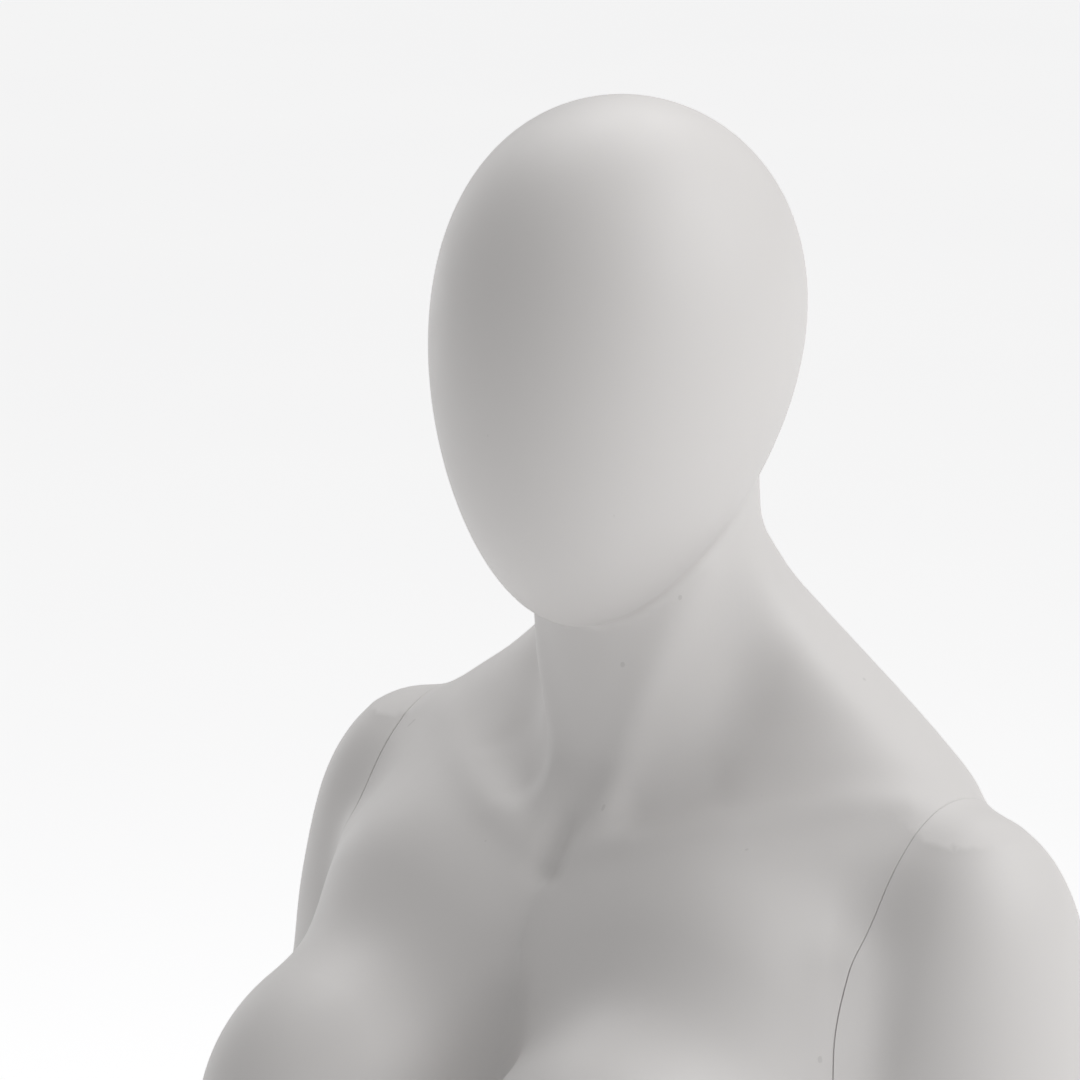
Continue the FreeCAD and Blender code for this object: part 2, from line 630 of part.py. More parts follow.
def fitting(place, size, frame, screws=True, magnets=False):
    """A socket, a bush that snaps into it and turns, and a keyed spigot that pulls out of the bush.

    The socket lies on the -Z side of the seam and the flange of the spigot on its +Z side.
    """
    pin, cup = f"dims.{size}_pin", f"dims.{size}_cup"
    flange, depth = f"dims.{size}_flange", f"dims.{size}_depth"
    face, recess = "dims.flange_face", "dims.panel_recess"
    bead_low, bead_high = f"-0.5 * {depth} - 1", f"-0.5 * {depth} + 1"

    plate = cylinder(f"{place}_socket_plate", flange, f"-{recess}", f"-{face}")
    barrel = cylinder(f"{place}_socket_barrel", cup, f"-{depth} - 2", f"-{face}")
    bore = cylinder(f"{place}_socket_bore", f"{cup} - 2", f"-{depth}", "1")
    groove = cylinder(f"{place}_socket_groove", f"{cup} - 1.4", f"{bead_low} - 0.05", f"{bead_high} + 0.05")
    socket = cut(f"{place}_socket_turned", fuse(f"{place}_socket_blank", [plate, barrel]), [bore, groove])

    sleeve = cylinder(f"{place}_bush_sleeve", f"{cup} - 2 - dims.play", f"-{depth} + 0.1", f"-{face}")
    bead = cylinder(f"{place}_bush_bead", f"{cup} - 1.4 - dims.play", bead_low, bead_high)
    hole = cylinder(f"{place}_bush_hole", f"{pin} + dims.play", f"-{depth}", "1")
    slot = box(f"{place}_bush_slot", ["-1.55", "0", f"-{depth}"], ["1.55", f"{pin} + 1.05", "1"])
    bush = cut(f"{place}_bush", fuse(f"{place}_bush_blank", [sleeve, bead]), [hole, slot])

    shaft = cylinder(f"{place}_spigot_shaft", pin, f"-{depth} + 4", face)
    nose = doc.addObject("Part::Cone", f"{place}_spigot_nose")
    nose.setExpression("Radius1", f"{pin} - 1.5")
    nose.setExpression("Radius2", pin)
    nose.Height = 1.5
    nose.setExpression("Placement.Base.z", f"-{depth} + 2.5")
    key = box(f"{place}_spigot_key", ["-1.5", "0", f"-{depth} + 8"], ["1.5", f"{pin} + 1", face])
    disc = cylinder(f"{place}_spigot_disc", flange, face, recess)
    spigot = fuse(f"{place}_spigot_turned", [shaft, nose, key, disc])

    nodes = {f"{place}_bush": bush}
    socket_holes, spigot_holes = [], []
    circle = (SIZE[f"{size}_cup"] + SIZE[f"{size}_flange"]) / 2
    if screws:
        spots = ring(3, circle, math.pi / 2)
        socket_holes.append(feature(f"{place}_socket_drilling", screw_set(spots, -1, False)))
        spigot_holes.append(feature(f"{place}_spigot_drilling", screw_set(spots, 1, False)))
        nodes[f"{place}_socket_screws"] = feature(f"{place}_socket_screws", screw_set(spots, -1, True))
        nodes[f"{place}_spigot_screws"] = feature(f"{place}_spigot_screws", screw_set(spots, 1, True))
    if magnets:
        spots = ring(3, circle, math.pi / 6)
        low = magnet_row(f"{place}_low_magnet", spots, f"-{recess}", f"-{face} + 0.1")
        high = magnet_row(f"{place}_high_magnet", spots, f"{face} - 0.1", recess)
        socket_holes.append(fuse(f"{place}_socket_pockets", low))
        spigot_holes.append(fuse(f"{place}_spigot_pockets", high))
        nodes[f"{place}_socket_magnets"] = fuse(f"{place}_socket_magnets", low)
        nodes[f"{place}_spigot_magnets"] = fuse(f"{place}_spigot_magnets", high)
    nodes[f"{place}_socket"] = cut(f"{place}_socket", socket, socket_holes) if socket_holes else socket
    nodes[f"{place}_spigot"] = cut(f"{place}_spigot", spigot, spigot_holes) if spigot_holes else spigot
    for item in nodes.values():
        item.Placement = frame
    return nodes


def opening(frame, size, side, screws=True):
    """What a panel is cut by to take a fitting: the barrel on the socket side, and the screws."""
    shapes = []
    if side < 0:
        shapes.append(Part.makeCylinder(SIZE[f"{size}_cup"], 40, Vector(0, 0, -40)))
    if screws:
        circle = (SIZE[f"{size}_cup"] + SIZE[f"{size}_flange"]) / 2
        shapes.append(screw_set(ring(3, circle, math.pi / 2), side, False))
    tool = Part.makeCompound(shapes)
    tool.Placement = frame
    return tool


# ---------------------------------------------------------------- shells and panels
def shell_of(outer, inner, cutters):
    """The outer solid, trimmed at its seams and hollowed."""
    for cutter in cutters:
        outer = outer.cut(cutter)
    return largest(largest(outer).cut(inner))


def panel_of(core, point, axis, keep=None):
    """A closing panel, a recess behind the seam on the side that its axis faces away from."""
    panel = core.common(slab(point, axis * -1, RECESS, SIZE["panel_thickness"]))
    if keep:
        panel = panel.common(keep)
    return largest(panel)


GLUE = WALL + SIZE["glue_line"]
PARTS = {}

left_shoulder = frame_at(SHOULDER_POINT, SHOULDER_AXIS)
right_shoulder = frame_at(flipped(SHOULDER_POINT), flipped(SHOULDER_AXIS))
left_wrist = frame_at(WRIST_POINT, WRIST_AXIS)
right_wrist = frame_at(flipped(WRIST_POINT), flipped(WRIST_AXIS))
WAIST_CENTRE = Vector(0, -2, WAIST)
waist = frame_at(WAIST_CENTRE, Z)

torso_outer = torso_solid(0.0).fuse(egg(0.0))
torso_inner = torso_solid(WALL).fuse(egg(WALL))
torso_core = torso_solid(GLUE)
torso_seams = [block_beyond(Vector(0, 0, WAIST + HALF_GAP), Z * -1)]
above_flank = block_beyond(Vector(0, 0, ARMPIT - 42), Z)
for point, axis in ((SHOULDER_POINT, SHOULDER_AXIS), (flipped(SHOULDER_POINT), flipped(SHOULDER_AXIS))):
    torso_seams.append(block_beyond(point - axis * HALF_GAP, axis).common(above_flank))
upper_shell = shell_of(torso_outer, torso_inner, torso_seams)
above_collar = block_beyond(COLLAR, Z)
above_jaw = block_beyond(JAW, JAW_AXIS)
PARTS["torso_shell"] = largest(upper_shell.cut(above_collar))
PARTS["neck_shell"] = largest(upper_shell.common(above_collar).cut(above_jaw))
PARTS["head_shell"] = largest(upper_shell.common(above_jaw))
upper_waist_panel = panel_of(torso_core, WAIST_CENTRE, Z * -1)
PARTS["waist_panel_upper"] = upper_waist_panel.cut(opening(waist, "waist", 1))
above_flank = block_beyond(Vector(0, 0, ARMPIT - 15), Z)
left_torso_panel = panel_of(torso_core, SHOULDER_POINT, SHOULDER_AXIS, above_flank)
PARTS["left_torso_panel"] = left_torso_panel.cut(opening(left_shoulder, "shoulder", -1))
right_torso_panel = panel_of(torso_core, flipped(SHOULDER_POINT), flipped(SHOULDER_AXIS), above_flank)
PARTS["right_torso_panel"] = right_torso_panel.cut(opening(right_shoulder, "shoulder", -1))

arm_outer, arm_inner, arm_core = arm_solid(0.0), arm_solid(WALL), arm_solid(GLUE)
arm_seams = [block_beyond(SHOULDER_POINT + SHOULDER_AXIS * HALF_GAP, SHOULDER_AXIS * -1),
             block_beyond(WRIST_POINT - WRIST_AXIS * HALF_GAP, WRIST_AXIS)]
left_arm = shell_of(arm_outer, arm_inner, arm_seams)
arm_panel = panel_of(arm_core, SHOULDER_POINT, SHOULDER_AXIS * -1)
wrist_panel = panel_of(arm_core, WRIST_POINT, WRIST_AXIS)
wrist_panel = wrist_panel.cut(opening(left_wrist, "wrist", -1, screws=False))
left_hand = hand_solid()
PARTS["left_arm_shell"], PARTS["right_arm_shell"] = left_arm, mirrored(left_arm)
PARTS["left_arm_panel"] = arm_panel.cut(opening(left_shoulder, "shoulder", 1))
PARTS["right_arm_panel"] = mirrored(arm_panel).cut(opening(right_shoulder, "shoulder", 1))
PARTS["left_wrist_panel"], PARTS["right_wrist_panel"] = wrist_panel, mirrored(wrist_panel)
PARTS["left_hand"], PARTS["right_hand"] = left_hand, mirrored(left_hand)

left_foot = foot_solid()
right_foot = mirrored(left_foot)
right_foot.translate(Vector(0, -STRIDE, 0))
lower_outer = pelvis_solid(0.0).fuse([leg_solid(1, 0.0, 90), leg_solid(-1, 0.0, 90), left_foot, right_foot])
lower_inner = pelvis_solid(WALL).fuse([leg_solid(1, WALL, 150), leg_solid(-1, WALL, 150)])
lower_core = pelvis_solid(GLUE).fuse([leg_solid(1, GLUE, 400), leg_solid(-1, GLUE, 400)])
hip_side = block_beyond(CROTCH, X * -1)


def hip_wedge(clearance):
    """The region of the right leg, grown past the seam by a clearance."""
    under = block_beyond(CROTCH - HIP_AXIS * clearance, HIP_AXIS)
    return under.common(block_beyond(CROTCH + X * clearance, X * -1))


base_top = SIZE["pad_thickness"] + SIZE["plate_thickness"]
lower_outer = lower_outer.cut(block_beyond(Z * (base_top + 0.02), Z * -1))
left_side = lower_outer.cut(block_beyond(Vector(0, 0, WAIST - HALF_GAP), Z))
right_side = left_side.common(hip_wedge(-HALF_GAP))
left_side = left_side.cut(hip_wedge(HALF_GAP))
right_leg = largest(largest(right_side).cut(lower_inner))
pelvis_and_leg = largest(largest(left_side).cut(lower_inner))
above_knee = block_beyond(KNEE, Z)
below_pelvis = block_beyond(THIGH_TOP, Z * -1)
PARTS["right_thigh_shell"] = largest(right_leg.common(above_knee))
PARTS["right_calf_shell"] = largest(right_leg.cut(above_knee))

lower_waist_panel = panel_of(lower_core, WAIST_CENTRE, Z)
PARTS["waist_panel_lower"] = lower_waist_panel.cut(opening(waist, "waist", -1))
keep = block_beyond(CROTCH - X * 6, X * -1)
hip_panel = panel_of(lower_core, CROTCH, HIP_AXIS, keep)
thigh_panel = panel_of(lower_core, CROTCH, HIP_AXIS * -1, keep)


# ---------------------------------------------------------------- bar and tube of the right leg
def hip_box(name, low_x, high_x, margin):
    """A bar along X between two distances from the middle of the figure, grown by a margin."""
    half_width, half_height = f"(0.5 * dims.bar_width + {margin})", f"(0.5 * dims.bar_height + {margin})"
    low = [f"-({high_x})", f"{BAR_Y} - {half_width}", f"{BAR_Z} - {half_height}"]
    high = [f"-({low_x})", f"{BAR_Y} + {half_width}", f"{BAR_Z} + {half_height}"]
    return box(name, low, high)


hip_frame = frame_at(Vector(BAR_X, BAR_Y, BAR_Z), HIP_AXIS)


def hip_flange(name, start):
    """A round flange across the seam of the right leg, from start along the seam axis."""
    item = doc.addObject("Part::Cylinder", name)
    item.setExpression("Radius", "dims.hip_flange")
    item.setExpression("Height", "dims.panel_recess - dims.flange_face")
    item.Placement = hip_frame.multiply(Placement(Z * start, Rotation()))
    return item


pelvis_flange = hip_flange("pelvis_flange", -RECESS)
thigh_flange = hip_flange("thigh_flange", FACE)
bar = hip_box("hip_bar_stock", "dims.bar_root", "dims.bar_tip", "0")
bar_passage = hip_box("hip_bar_passage", "dims.bar_root - 30", "dims.tube_tip + 5", "0.1")
tube_stock = hip_box("thigh_tube_stock", "dims.bar_root", "dims.tube_tip", "dims.tube_wall")
seam_block = feature("hip_seam_block", block_beyond(CROTCH + HIP_AXIS * FACE, HIP_AXIS * -1))
hip_spots = [(x * 24, y * 21) for x in (-1, 1) for y in (-1, 1)]


def hip_screws(direction, slotted):
    shape = screw_set(hip_spots, direction, slotted)
    shape.Placement = hip_frame
    return shape


bar_blank = fuse("hip_bar_blank", [bar, pelvis_flange])
PIECES = {"hip_bar": cut("hip_bar", bar_blank, [feature("hip_bar_drilling", hip_screws(-1, False))])}
tube_outer = cut("thigh_tube_outer", tube_stock, [seam_block])
tube_blank = fuse("thigh_tube_blank", [tube_outer, thigh_flange])
tube_cuts = [bar_passage, feature("thigh_tube_drilling", hip_screws(1, False))]
PIECES["thigh_tube"] = cut("thigh_tube", tube_blank, tube_cuts)
PIECES["hip_bar_screws"] = feature("hip_bar_screws", hip_screws(-1, True))
PIECES["thigh_tube_screws"] = feature("thigh_tube_screws", hip_screws(1, True))
doc.recompute()
PARTS["hip_panel"] = hip_panel.cut([bar.Shape, hip_screws(-1, False)])
PARTS["thigh_panel"] = thigh_panel.cut([tube_stock.Shape, hip_screws(1, False)])

# ---------------------------------------------------------------- waist, shoulders and wrists
PIECES.update(fitting("waist", "waist", waist))
PIECES.update(fitting("left_shoulder", "shoulder", left_shoulder, magnets=True))
PIECES.update(fitting("right_shoulder", "shoulder", right_shoulder, magnets=True))
PIECES.update(fitting("left_wrist", "wrist", left_wrist, screws=False))
PIECES.update(fitting("right_wrist", "wrist", right_wrist, screws=False))

# ---------------------------------------------------------------- socket in the left calf
rod_spot = Vector(SIZE["rod_x"], SIZE["rod_y"], 0)
tube = cylinder("calf_tube_stock", "dims.calf_tube_radius", "dims.calf_tube_bottom", "dims.calf_tube_top",
                "dims.rod_x", "dims.rod_y")
tube_bore = cylinder("calf_tube_bore", "dims.rod_radius + dims.play", "dims.calf_tube_bottom - 5",
                     "dims.rod_top + 0.3", "dims.rod_x", "dims.rod_y")
doc.recompute()
calf_outline = feature("calf_outline", tube.Shape.common(leg_solid(1, 0.0, 90)))
PIECES["calf_socket"] = cut("calf_socket", calf_outline, [tube_bore])
doc.recompute()
rod_passage = Part.makeCylinder(SIZE["rod_radius"] + 0.6, 150, rod_spot + Z * 130)
pelvis_and_leg = largest(pelvis_and_leg.cut([tube.Shape, rod_passage]))
PARTS["pelvis_shell"] = largest(pelvis_and_leg.cut(below_pelvis))
PARTS["left_thigh_shell"] = largest(pelvis_and_leg.common(below_pelvis).common(above_knee))
PARTS["left_calf_shell"] = largest(pelvis_and_leg.cut(above_knee))

# ---------------------------------------------------------------- base
plate_top = "dims.pad_thickness + dims.plate_thickness"
PIECES["antislip_pad"] = cylinder("antislip_pad", "dims.pad_radius", "0", "dims.pad_thickness")
plate_blank = cylinder("plate_blank", "dims.plate_radius", "dims.pad_thickness", f"{plate_top} - dims.plate_chamfer")
plate_rim = doc.addObject("Part::Cone", "plate_rim")
plate_rim.setExpression("Radius1", "dims.plate_radius")
plate_rim.setExpression("Radius2", "dims.plate_radius - dims.plate_chamfer")
plate_rim.setExpression("Height", "dims.plate_chamfer")
plate_rim.setExpression("Placement.Base.z", f"{plate_top} - dims.plate_chamfer")
plate_stock = fuse("plate_stock", [plate_blank, plate_rim])
rod = cylinder("rod_stock", "dims.rod_radius", "dims.rod_foot", "dims.rod_top - 1.5", "dims.rod_x", "dims.rod_y")
rod_tip = doc.addObject("Part::Cone", "rod_tip")
rod_tip.setExpression("Radius1", "dims.rod_radius")
rod_tip.setExpression("Radius2", "dims.rod_radius - 1.5")
rod_tip.Height = 1.5
rod_tip.setExpression("Placement.Base.x", "dims.rod_x")
rod_tip.setExpression("Placement.Base.y", "dims.rod_y")
rod_tip.setExpression("Placement.Base.z", "dims.rod_top - 1.5")
PIECES["support_rod"] = fuse("support_rod", [rod, rod_tip])

holder_screw_spots = ring(4, SIZE["holder_screw_circle"], math.pi / 4)
shanks, heads, drives = [], [], []
for i, (dx, dy) in enumerate(holder_screw_spots):
    at = (f"dims.rod_x + {dx}", f"dims.rod_y + {dy}")
    flange_top = f"{plate_top} + dims.flange_thickness"
    shanks.append(cylinder(f"holder_shank_{i}", "dims.holder_screw_radius", "dims.pad_thickness + 1",
                           flange_top, *at))
    heads.append(cylinder(f"holder_head_{i}", "dims.holder_head_radius", flange_top,
                          f"{flange_top} + dims.holder_head_height", *at))
    drives.append(cylinder(f"holder_drive_{i}", "1.9", f"{flange_top} + 1", f"{flange_top} + 4", *at))
holder_drilling = fuse("holder_drilling", shanks)
PIECES["base_plate"] = cut("base_plate", plate_stock, [rod, holder_drilling])
PIECES["holder_screws"] = cut("holder_screws", fuse("holder_screw_blanks", shanks + heads), drives)
holder_flange = cylinder("holder_flange", "dims.flange_radius", plate_top, f"{plate_top} + dims.flange_thickness",
                         "dims.rod_x", "dims.rod_y")
holder_collar = cylinder("holder_collar", "dims.collar_radius", plate_top, f"{plate_top} + dims.collar_height",
                         "dims.rod_x", "dims.rod_y")
grub_height = SIZE["pad_thickness"] + SIZE["plate_thickness"] + SIZE["collar_height"] - 9
grub_hole = doc.addObject("Part::Cylinder", "grub_hole")
grub_hole.setExpression("Radius", "dims.grub_radius")
grub_hole.setExpression("Height", "dims.collar_radius + 2")
grub_hole.Placement = Placement(rod_spot + Z * grub_height, Rotation(Z, Y))
grub_stock = doc.addObject("Part::Cylinder", "grub_stock")
grub_stock.setExpression("Radius", "dims.grub_radius")
grub_stock.setExpression("Height", "dims.collar_radius - 0.5")
grub_stock.Placement = grub_hole.Placement
grub_drive = doc.addObject("Part::Prism", "grub_drive")
grub_drive.Polygon = 6
grub_drive.Circumradius = 1.4
grub_drive.Height = 5
grub_drive.Placement = Placement(rod_spot + Z * grub_height + Y * (SIZE["collar_radius"] - 2.5), Rotation(Z, Y))
holder_stock = fuse("holder_stock", [holder_flange, holder_collar])
PIECES["rod_holder"] = cut("rod_holder", holder_stock, [rod, holder_drilling, grub_hole])
PIECES["rod_grub_screw"] = cut("rod_grub_screw", grub_stock, [rod, grub_drive])

# ---------------------------------------------------------------- check and export
for name, shape in PARTS.items():
    PIECES[name] = feature(name, shape)
for name, item in PIECES.items():
    item.Label = name
doc.recompute()
for item in doc.Objects:
    if "Invalid" in item.State or "Error" in item.State:
        raise RuntimeError(f"{item.Name} did not recompute: {item.State}")
for name, item in PIECES.items():
    if item.Shape.isNull() or not item.Shape.isValid() or not item.Shape.Solids:
        raise RuntimeError(f"{name} has no valid solid")
    item.Shape.exportStep(f"parts/{name}.step")
print(len(PIECES), "parts")
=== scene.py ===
import json
import math

import bpy
import bmesh
import numpy as np
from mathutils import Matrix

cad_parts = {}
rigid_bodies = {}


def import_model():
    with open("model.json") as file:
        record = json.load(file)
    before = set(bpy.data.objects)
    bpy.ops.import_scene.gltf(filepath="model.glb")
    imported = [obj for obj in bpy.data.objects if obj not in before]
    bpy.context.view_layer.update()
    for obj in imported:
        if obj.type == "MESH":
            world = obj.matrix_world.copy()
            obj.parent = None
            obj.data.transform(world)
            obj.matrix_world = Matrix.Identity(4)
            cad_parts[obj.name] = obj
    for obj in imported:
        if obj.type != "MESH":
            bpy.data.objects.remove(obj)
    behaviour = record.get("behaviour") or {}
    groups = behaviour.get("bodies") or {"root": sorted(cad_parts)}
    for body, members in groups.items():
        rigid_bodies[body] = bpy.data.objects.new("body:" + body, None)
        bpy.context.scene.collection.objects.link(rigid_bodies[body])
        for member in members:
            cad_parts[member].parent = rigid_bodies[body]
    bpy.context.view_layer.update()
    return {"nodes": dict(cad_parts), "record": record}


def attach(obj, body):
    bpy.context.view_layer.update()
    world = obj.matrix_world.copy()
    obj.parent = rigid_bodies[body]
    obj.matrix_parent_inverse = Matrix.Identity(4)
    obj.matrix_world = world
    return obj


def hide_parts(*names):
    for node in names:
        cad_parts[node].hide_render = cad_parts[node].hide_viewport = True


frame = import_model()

import openvdb
from mathutils import Matrix, Vector

# Looks of a full-figured display mannequin. Its shells are drawn as one smooth form in millimetres, the
# zero surface of a distance field, then parted at the seams and given their wall thickness.

# ---------------------------------------------------------------- form of the body
# height, centre x, half width, centre y, reach forward, reach back, squareness (2 is an ellipse)
TRUNK = [
    (835, 0, 196, 10, 90, 128, 2.2),
    (870, 0, 207, 10, 108, 138, 2.2),
    (910, 0, 211, 8, 122, 142, 2.2),
    (960, 0, 204, 4, 130, 136, 2.2),
    (1010, 0, 191, -2, 131, 124, 2.2),
    (1060, 0, 175, -6, 126, 112, 2.2),
    (1105, 0, 163, -8, 119, 106, 2.2),
    (1150, 0, 157, -8, 114, 106, 2.2),
    (1200, 0, 152, -5, 111, 108, 2.2),
    (1250, 0, 148, 0, 110, 112, 2.2),
    (1300, 0, 144, 6, 111, 116, 2.2),
    (1340, 0, 142, 12, 108, 117, 2.2),
    (1380, 0, 146, 18, 102, 113, 2.2),
    (1415, 0, 156, 22, 95, 106, 2.2),
    (1440, 0, 164, 26, 87, 97, 2.2),
    (1462, 0, 162, 30, 77, 89, 2.1),
    (1480, 0, 152, 36, 66, 81, 2.0),
    (1496, 0, 131, 39, 54, 74, 2.0),
    (1512, 0, 108, 40, 45, 68, 2.0),
    (1530, 0, 86, 38, 39, 60, 2.0),
    (1550, 0, 67, 33, 35, 50, 2.0),
    (1575, 0, 50, 24, 28, 36, 2.0),
    (1600, 0, 34, 14, 18, 24, 2.0),
]
NECK = [
    (1440, 0, 52, 14, 52, 40, 2.0),
    (1470, 0, 50, 14, 52, 42, 2.0),
    (1500, 0, 49, 12, 50, 46, 2.0),
    (1530, 0, 49, 8, 49, 51, 2.0),
    (1560, 0, 49, 4, 48, 54, 2.0),
    (1600, 0, 50, 0, 49, 56, 2.0),
    (1645, 0, 50, -4, 50, 56, 2.0),
]
ARM = [
    (868, 285, 21, -18, 27, 27, 2.0),
    (895, 281, 22, -13, 28, 28, 2.0),
    (930, 274, 26, -7, 31, 31, 2.0),
    (980, 263, 33, 2, 37, 38, 2.0),
    (1030, 251, 38, 13, 42, 44, 2.0),
    (1070, 243, 40, 22, 44, 46, 2.0),
    (1110, 234, 39, 31, 45, 45, 2.0),
    (1150, 226, 41, 35, 46, 47, 2.0),
    (1200, 213, 44, 34, 51, 52, 2.0),
    (1250, 200, 46, 31, 55, 56, 2.0),
    (1300, 187, 47, 28, 58, 59, 2.0),
    (1350, 176, 46, 28, 57, 60, 2.0),
    (1385, 170, 43, 29, 53, 55, 2.0),
    (1415, 167, 33, 30, 40, 42, 2.0),
    (1440, 165, 20, 30, 24, 26, 2.0),
    (1458, 164, 8, 30, 10, 10, 2.0),
]
LEG = [
    (88, 96, 31, 20, 33, 31, 2.0),
    (115, 96, 32, 18, 36, 31, 2.0),
    (145, 96, 32, 17, 35, 31, 2.0),
    (180, 96, 33, 16, 34, 34, 2.0),
    (230, 96, 42, 15, 39, 45, 2.0),
    (290, 96, 54, 13, 46, 60, 2.0),
    (345, 96, 61, 11, 51, 68, 2.0),
    (400, 96, 60, 8, 54, 67, 2.0),
    (450, 96, 56, 3, 55, 60, 2.0),
    (500, 97, 58, -1, 61, 57, 2.0),
    (550, 98, 63, -4, 66, 60, 2.0),
    (610, 100, 72, -5, 76, 71, 2.0),
    (690, 102, 84, -3, 88, 86, 2.0),
    (770, 104, 93, 0, 99, 100, 2.0),
    (830, 105, 97, 4, 103, 108, 2.0),
    (862, 104, 98, 5, 104, 111, 2.0),
    (892, 102, 96, 6, 103, 110, 2.0),
    (925, 100, 76, 10, 82, 88, 2.0),
    (957, 98, 44, 15, 46, 56, 2.0),
    (985, 96, 14, 20, 14, 20, 2.0),
]
# soft masses of the left side: centre and radii
BREAST = ((80, -92, 1322), (67, 90, 80))
UPPER_CHEST = ((72, -42, 1392), (72, 52, 62))
DELTOID = ((166, 31, 1396), (48, 57, 84))
BUTTOCK = ((88, 70, 905), (96, 98, 96))
HEEL = ((0, 20, 98), (30, 32, 34))
FOOT_BALL = ((0, -104, 30), (43, 36, 21))
TOE_BOX = ((2, -132, 21), (36, 22, 12))
INSTEP = ((0, 10, 116), (0, -95, 40), 30, 25)

ARMPIT, ARMPIT_RISE = 1280.0, 60.0     # the arm parts from the body here, and its fillet grows over the rise
SEAM_FROM = 1230.0                     # the shoulder seams lie above this height
# the right leg steps forward by the stride, which grows from the hip down to the knee
STRIDE, STRIDE_FROM, STRIDE_TO = 24.0, 870.0, 480.0
FOOT_X, TOE_OUT = 96.0, 0.12           # middle of the foot, and how far it turns out
HEAD_CENTRE = (4.0, -25.0, 1668.0)
HEAD_HALF = (79.0, 92.0, 118.0)
HEAD_TAPER, HEAD_LEAN, HEAD_TURN = 0.19, 24.0, 17.0    # taper to the chin, then degrees

# seams: a point and the axis across each
WAIST = (np.array([0.0, -2.0, 1105.0]), np.array([0.0, 0.0, 1.0]))
SHOULDER = (np.array([152.0, 26.0, 1392.0]), np.array([1.0, 0.0, 0.0]))
WRIST_AXIS = np.array([0.205, -0.165, -0.965])
WRIST = (np.array([282.0, -14.0, 892.0]), WRIST_AXIS / np.linalg.norm(WRIST_AXIS))
HIP_ANGLE = math.radians(27)
HIP = (np.array([-5.0, 0.0, 833.0]), np.array([-math.sin(HIP_ANGLE), 0.0, -math.cos(HIP_ANGLE)]))
WALL, HALF_GAP, EDGE = 3.5, 0.25, 0.32                  # shell, half the gap at a seam, broken edge
# how far out each seam is looked for, so that its cut does not reach the next limb
SHOULDER_FROM, WRIST_FROM, WAIST_TO, HIP_TO = 120.0, 230.0, 185.0, 3.0

# fillets where forms meet
NECK_FILLET, CHEST_FILLET, BREAST_FILLET, CHIN_FILLET = 22.0, 45.0, 34.0, 6.0
DELTOID_FILLET, ARMPIT_FILLET, SHOULDER_FILLET = 20.0, 4.0, 22.0
BUTTOCK_FILLET, HIP_FILLET, ANKLE_FILLET = 40.0, 18.0, 16.0
HEEL_FILLET, BALL_FILLET, TOE_BOX_FILLET, TOE_ROOT_FILLET, TOE_FILLET = 26.0, 20.0, 10.0, 6.0, 2.5
FINGER_ROOT_FILLET, FINGER_FILLET, THUMB_ROOT_FILLET = 9.0, 1.6, 7.0
KNUCKLE_FILLET, THUMB_JOINT_FILLET = 3.0, 4.0
FOOT_TOP = 210.0                       # feet and toes lie below this height


def dense(table):
    """A table of stations at every millimetre of height, on a smooth curve."""
    rows = np.array(table, float)
    z, v = rows[:, 0], rows[:, 1:]
    slope = np.zeros_like(v)
    slope[1:-1] = (v[2:] - v[:-2]) / (z[2:] - z[:-2])[:, None]
    grid = np.arange(z[0], z[-1] + 0.5)
    k = np.clip(np.searchsorted(z, grid, side="right") - 1, 0, len(z) - 2)
    span = (z[k + 1] - z[k])[:, None]
    t = (grid - z[k])[:, None] / span
    out = (2 * t**3 - 3 * t**2 + 1) * v[k] + (t**3 - 2 * t**2 + t) * span * slope[k]
    out += (3 * t**2 - 2 * t**3) * v[k + 1] + (t**3 - t**2) * span * slope[k + 1]
    return grid, out.T


LIMBS = {"trunk": dense(TRUNK), "neck": dense(NECK), "arm": dense(ARM), "leg": dense(LEG)}


def limb(name, x, y, z):
    """About how far points lie outside the trunk, the neck or a limb; negative inside."""
    grid, values = LIMBS[name]
    cx, half, cy, front, back, power = (np.interp(z, grid, v) for v in values)
    dx, dy = np.abs(x - cx), y - cy
    reach = np.where(dy < 0, front, back)
    share = np.maximum(((dx / half) ** power + (np.abs(dy) / reach) ** power) ** (1 / power), 1e-4)
    level = np.maximum(np.hypot(dx, dy) * (1 - 1 / share), -np.minimum(half, np.minimum(front, back)))
    return np.maximum(level, np.maximum(grid[0] - z, z - grid[-1]))


def ellipsoid(ball, x, y, z):
    (cx, cy, cz), (rx, ry, rz) = ball
    px, py, pz = x - cx, y - cy, z - cz
    share = np.sqrt((px / rx) ** 2 + (py / ry) ** 2 + (pz / rz) ** 2)
    slope = np.sqrt((px / rx**2) ** 2 + (py / ry**2) ** 2 + (pz / rz**2) ** 2)
    return share * (share - 1) / np.maximum(slope, 1e-6)


def capsule(start, end, start_radius, end_radius, x, y, z):
    a, b = np.array(start, float), np.array(end, float)
    run = b - a
    px, py, pz = x - a[0], y - a[1], z - a[2]
    t = np.clip((px * run[0] + py * run[1] + pz * run[2]) / (run @ run), 0, 1)
    gap = np.sqrt((px - t * run[0]) ** 2 + (py - t * run[1]) ** 2 + (pz - t * run[2]) ** 2)
    return gap - (start_radius + (end_radius - start_radius) * t)


def join(a, b, radius):
    """Union of two distances with a fillet of about that radius."""
    near = np.maximum(radius - np.abs(a - b), 0) / radius
    return np.minimum(a, b) - near * near * radius / 4


def join_all(parts, radius):
    """Union of several distances, one after another."""
    whole = parts[0]
    for part in parts[1:]:
        whole = join(whole, part, radius)
    return whole


def chain(points, girths, x, y, z):
    """The tapered bones of a finger or thumb, end to end."""
    ends = zip(points[:-1], points[1:], girths[:-1], girths[1:])
    return [capsule(a, b, start, end, x, y, z) for a, b, start, end in ends]


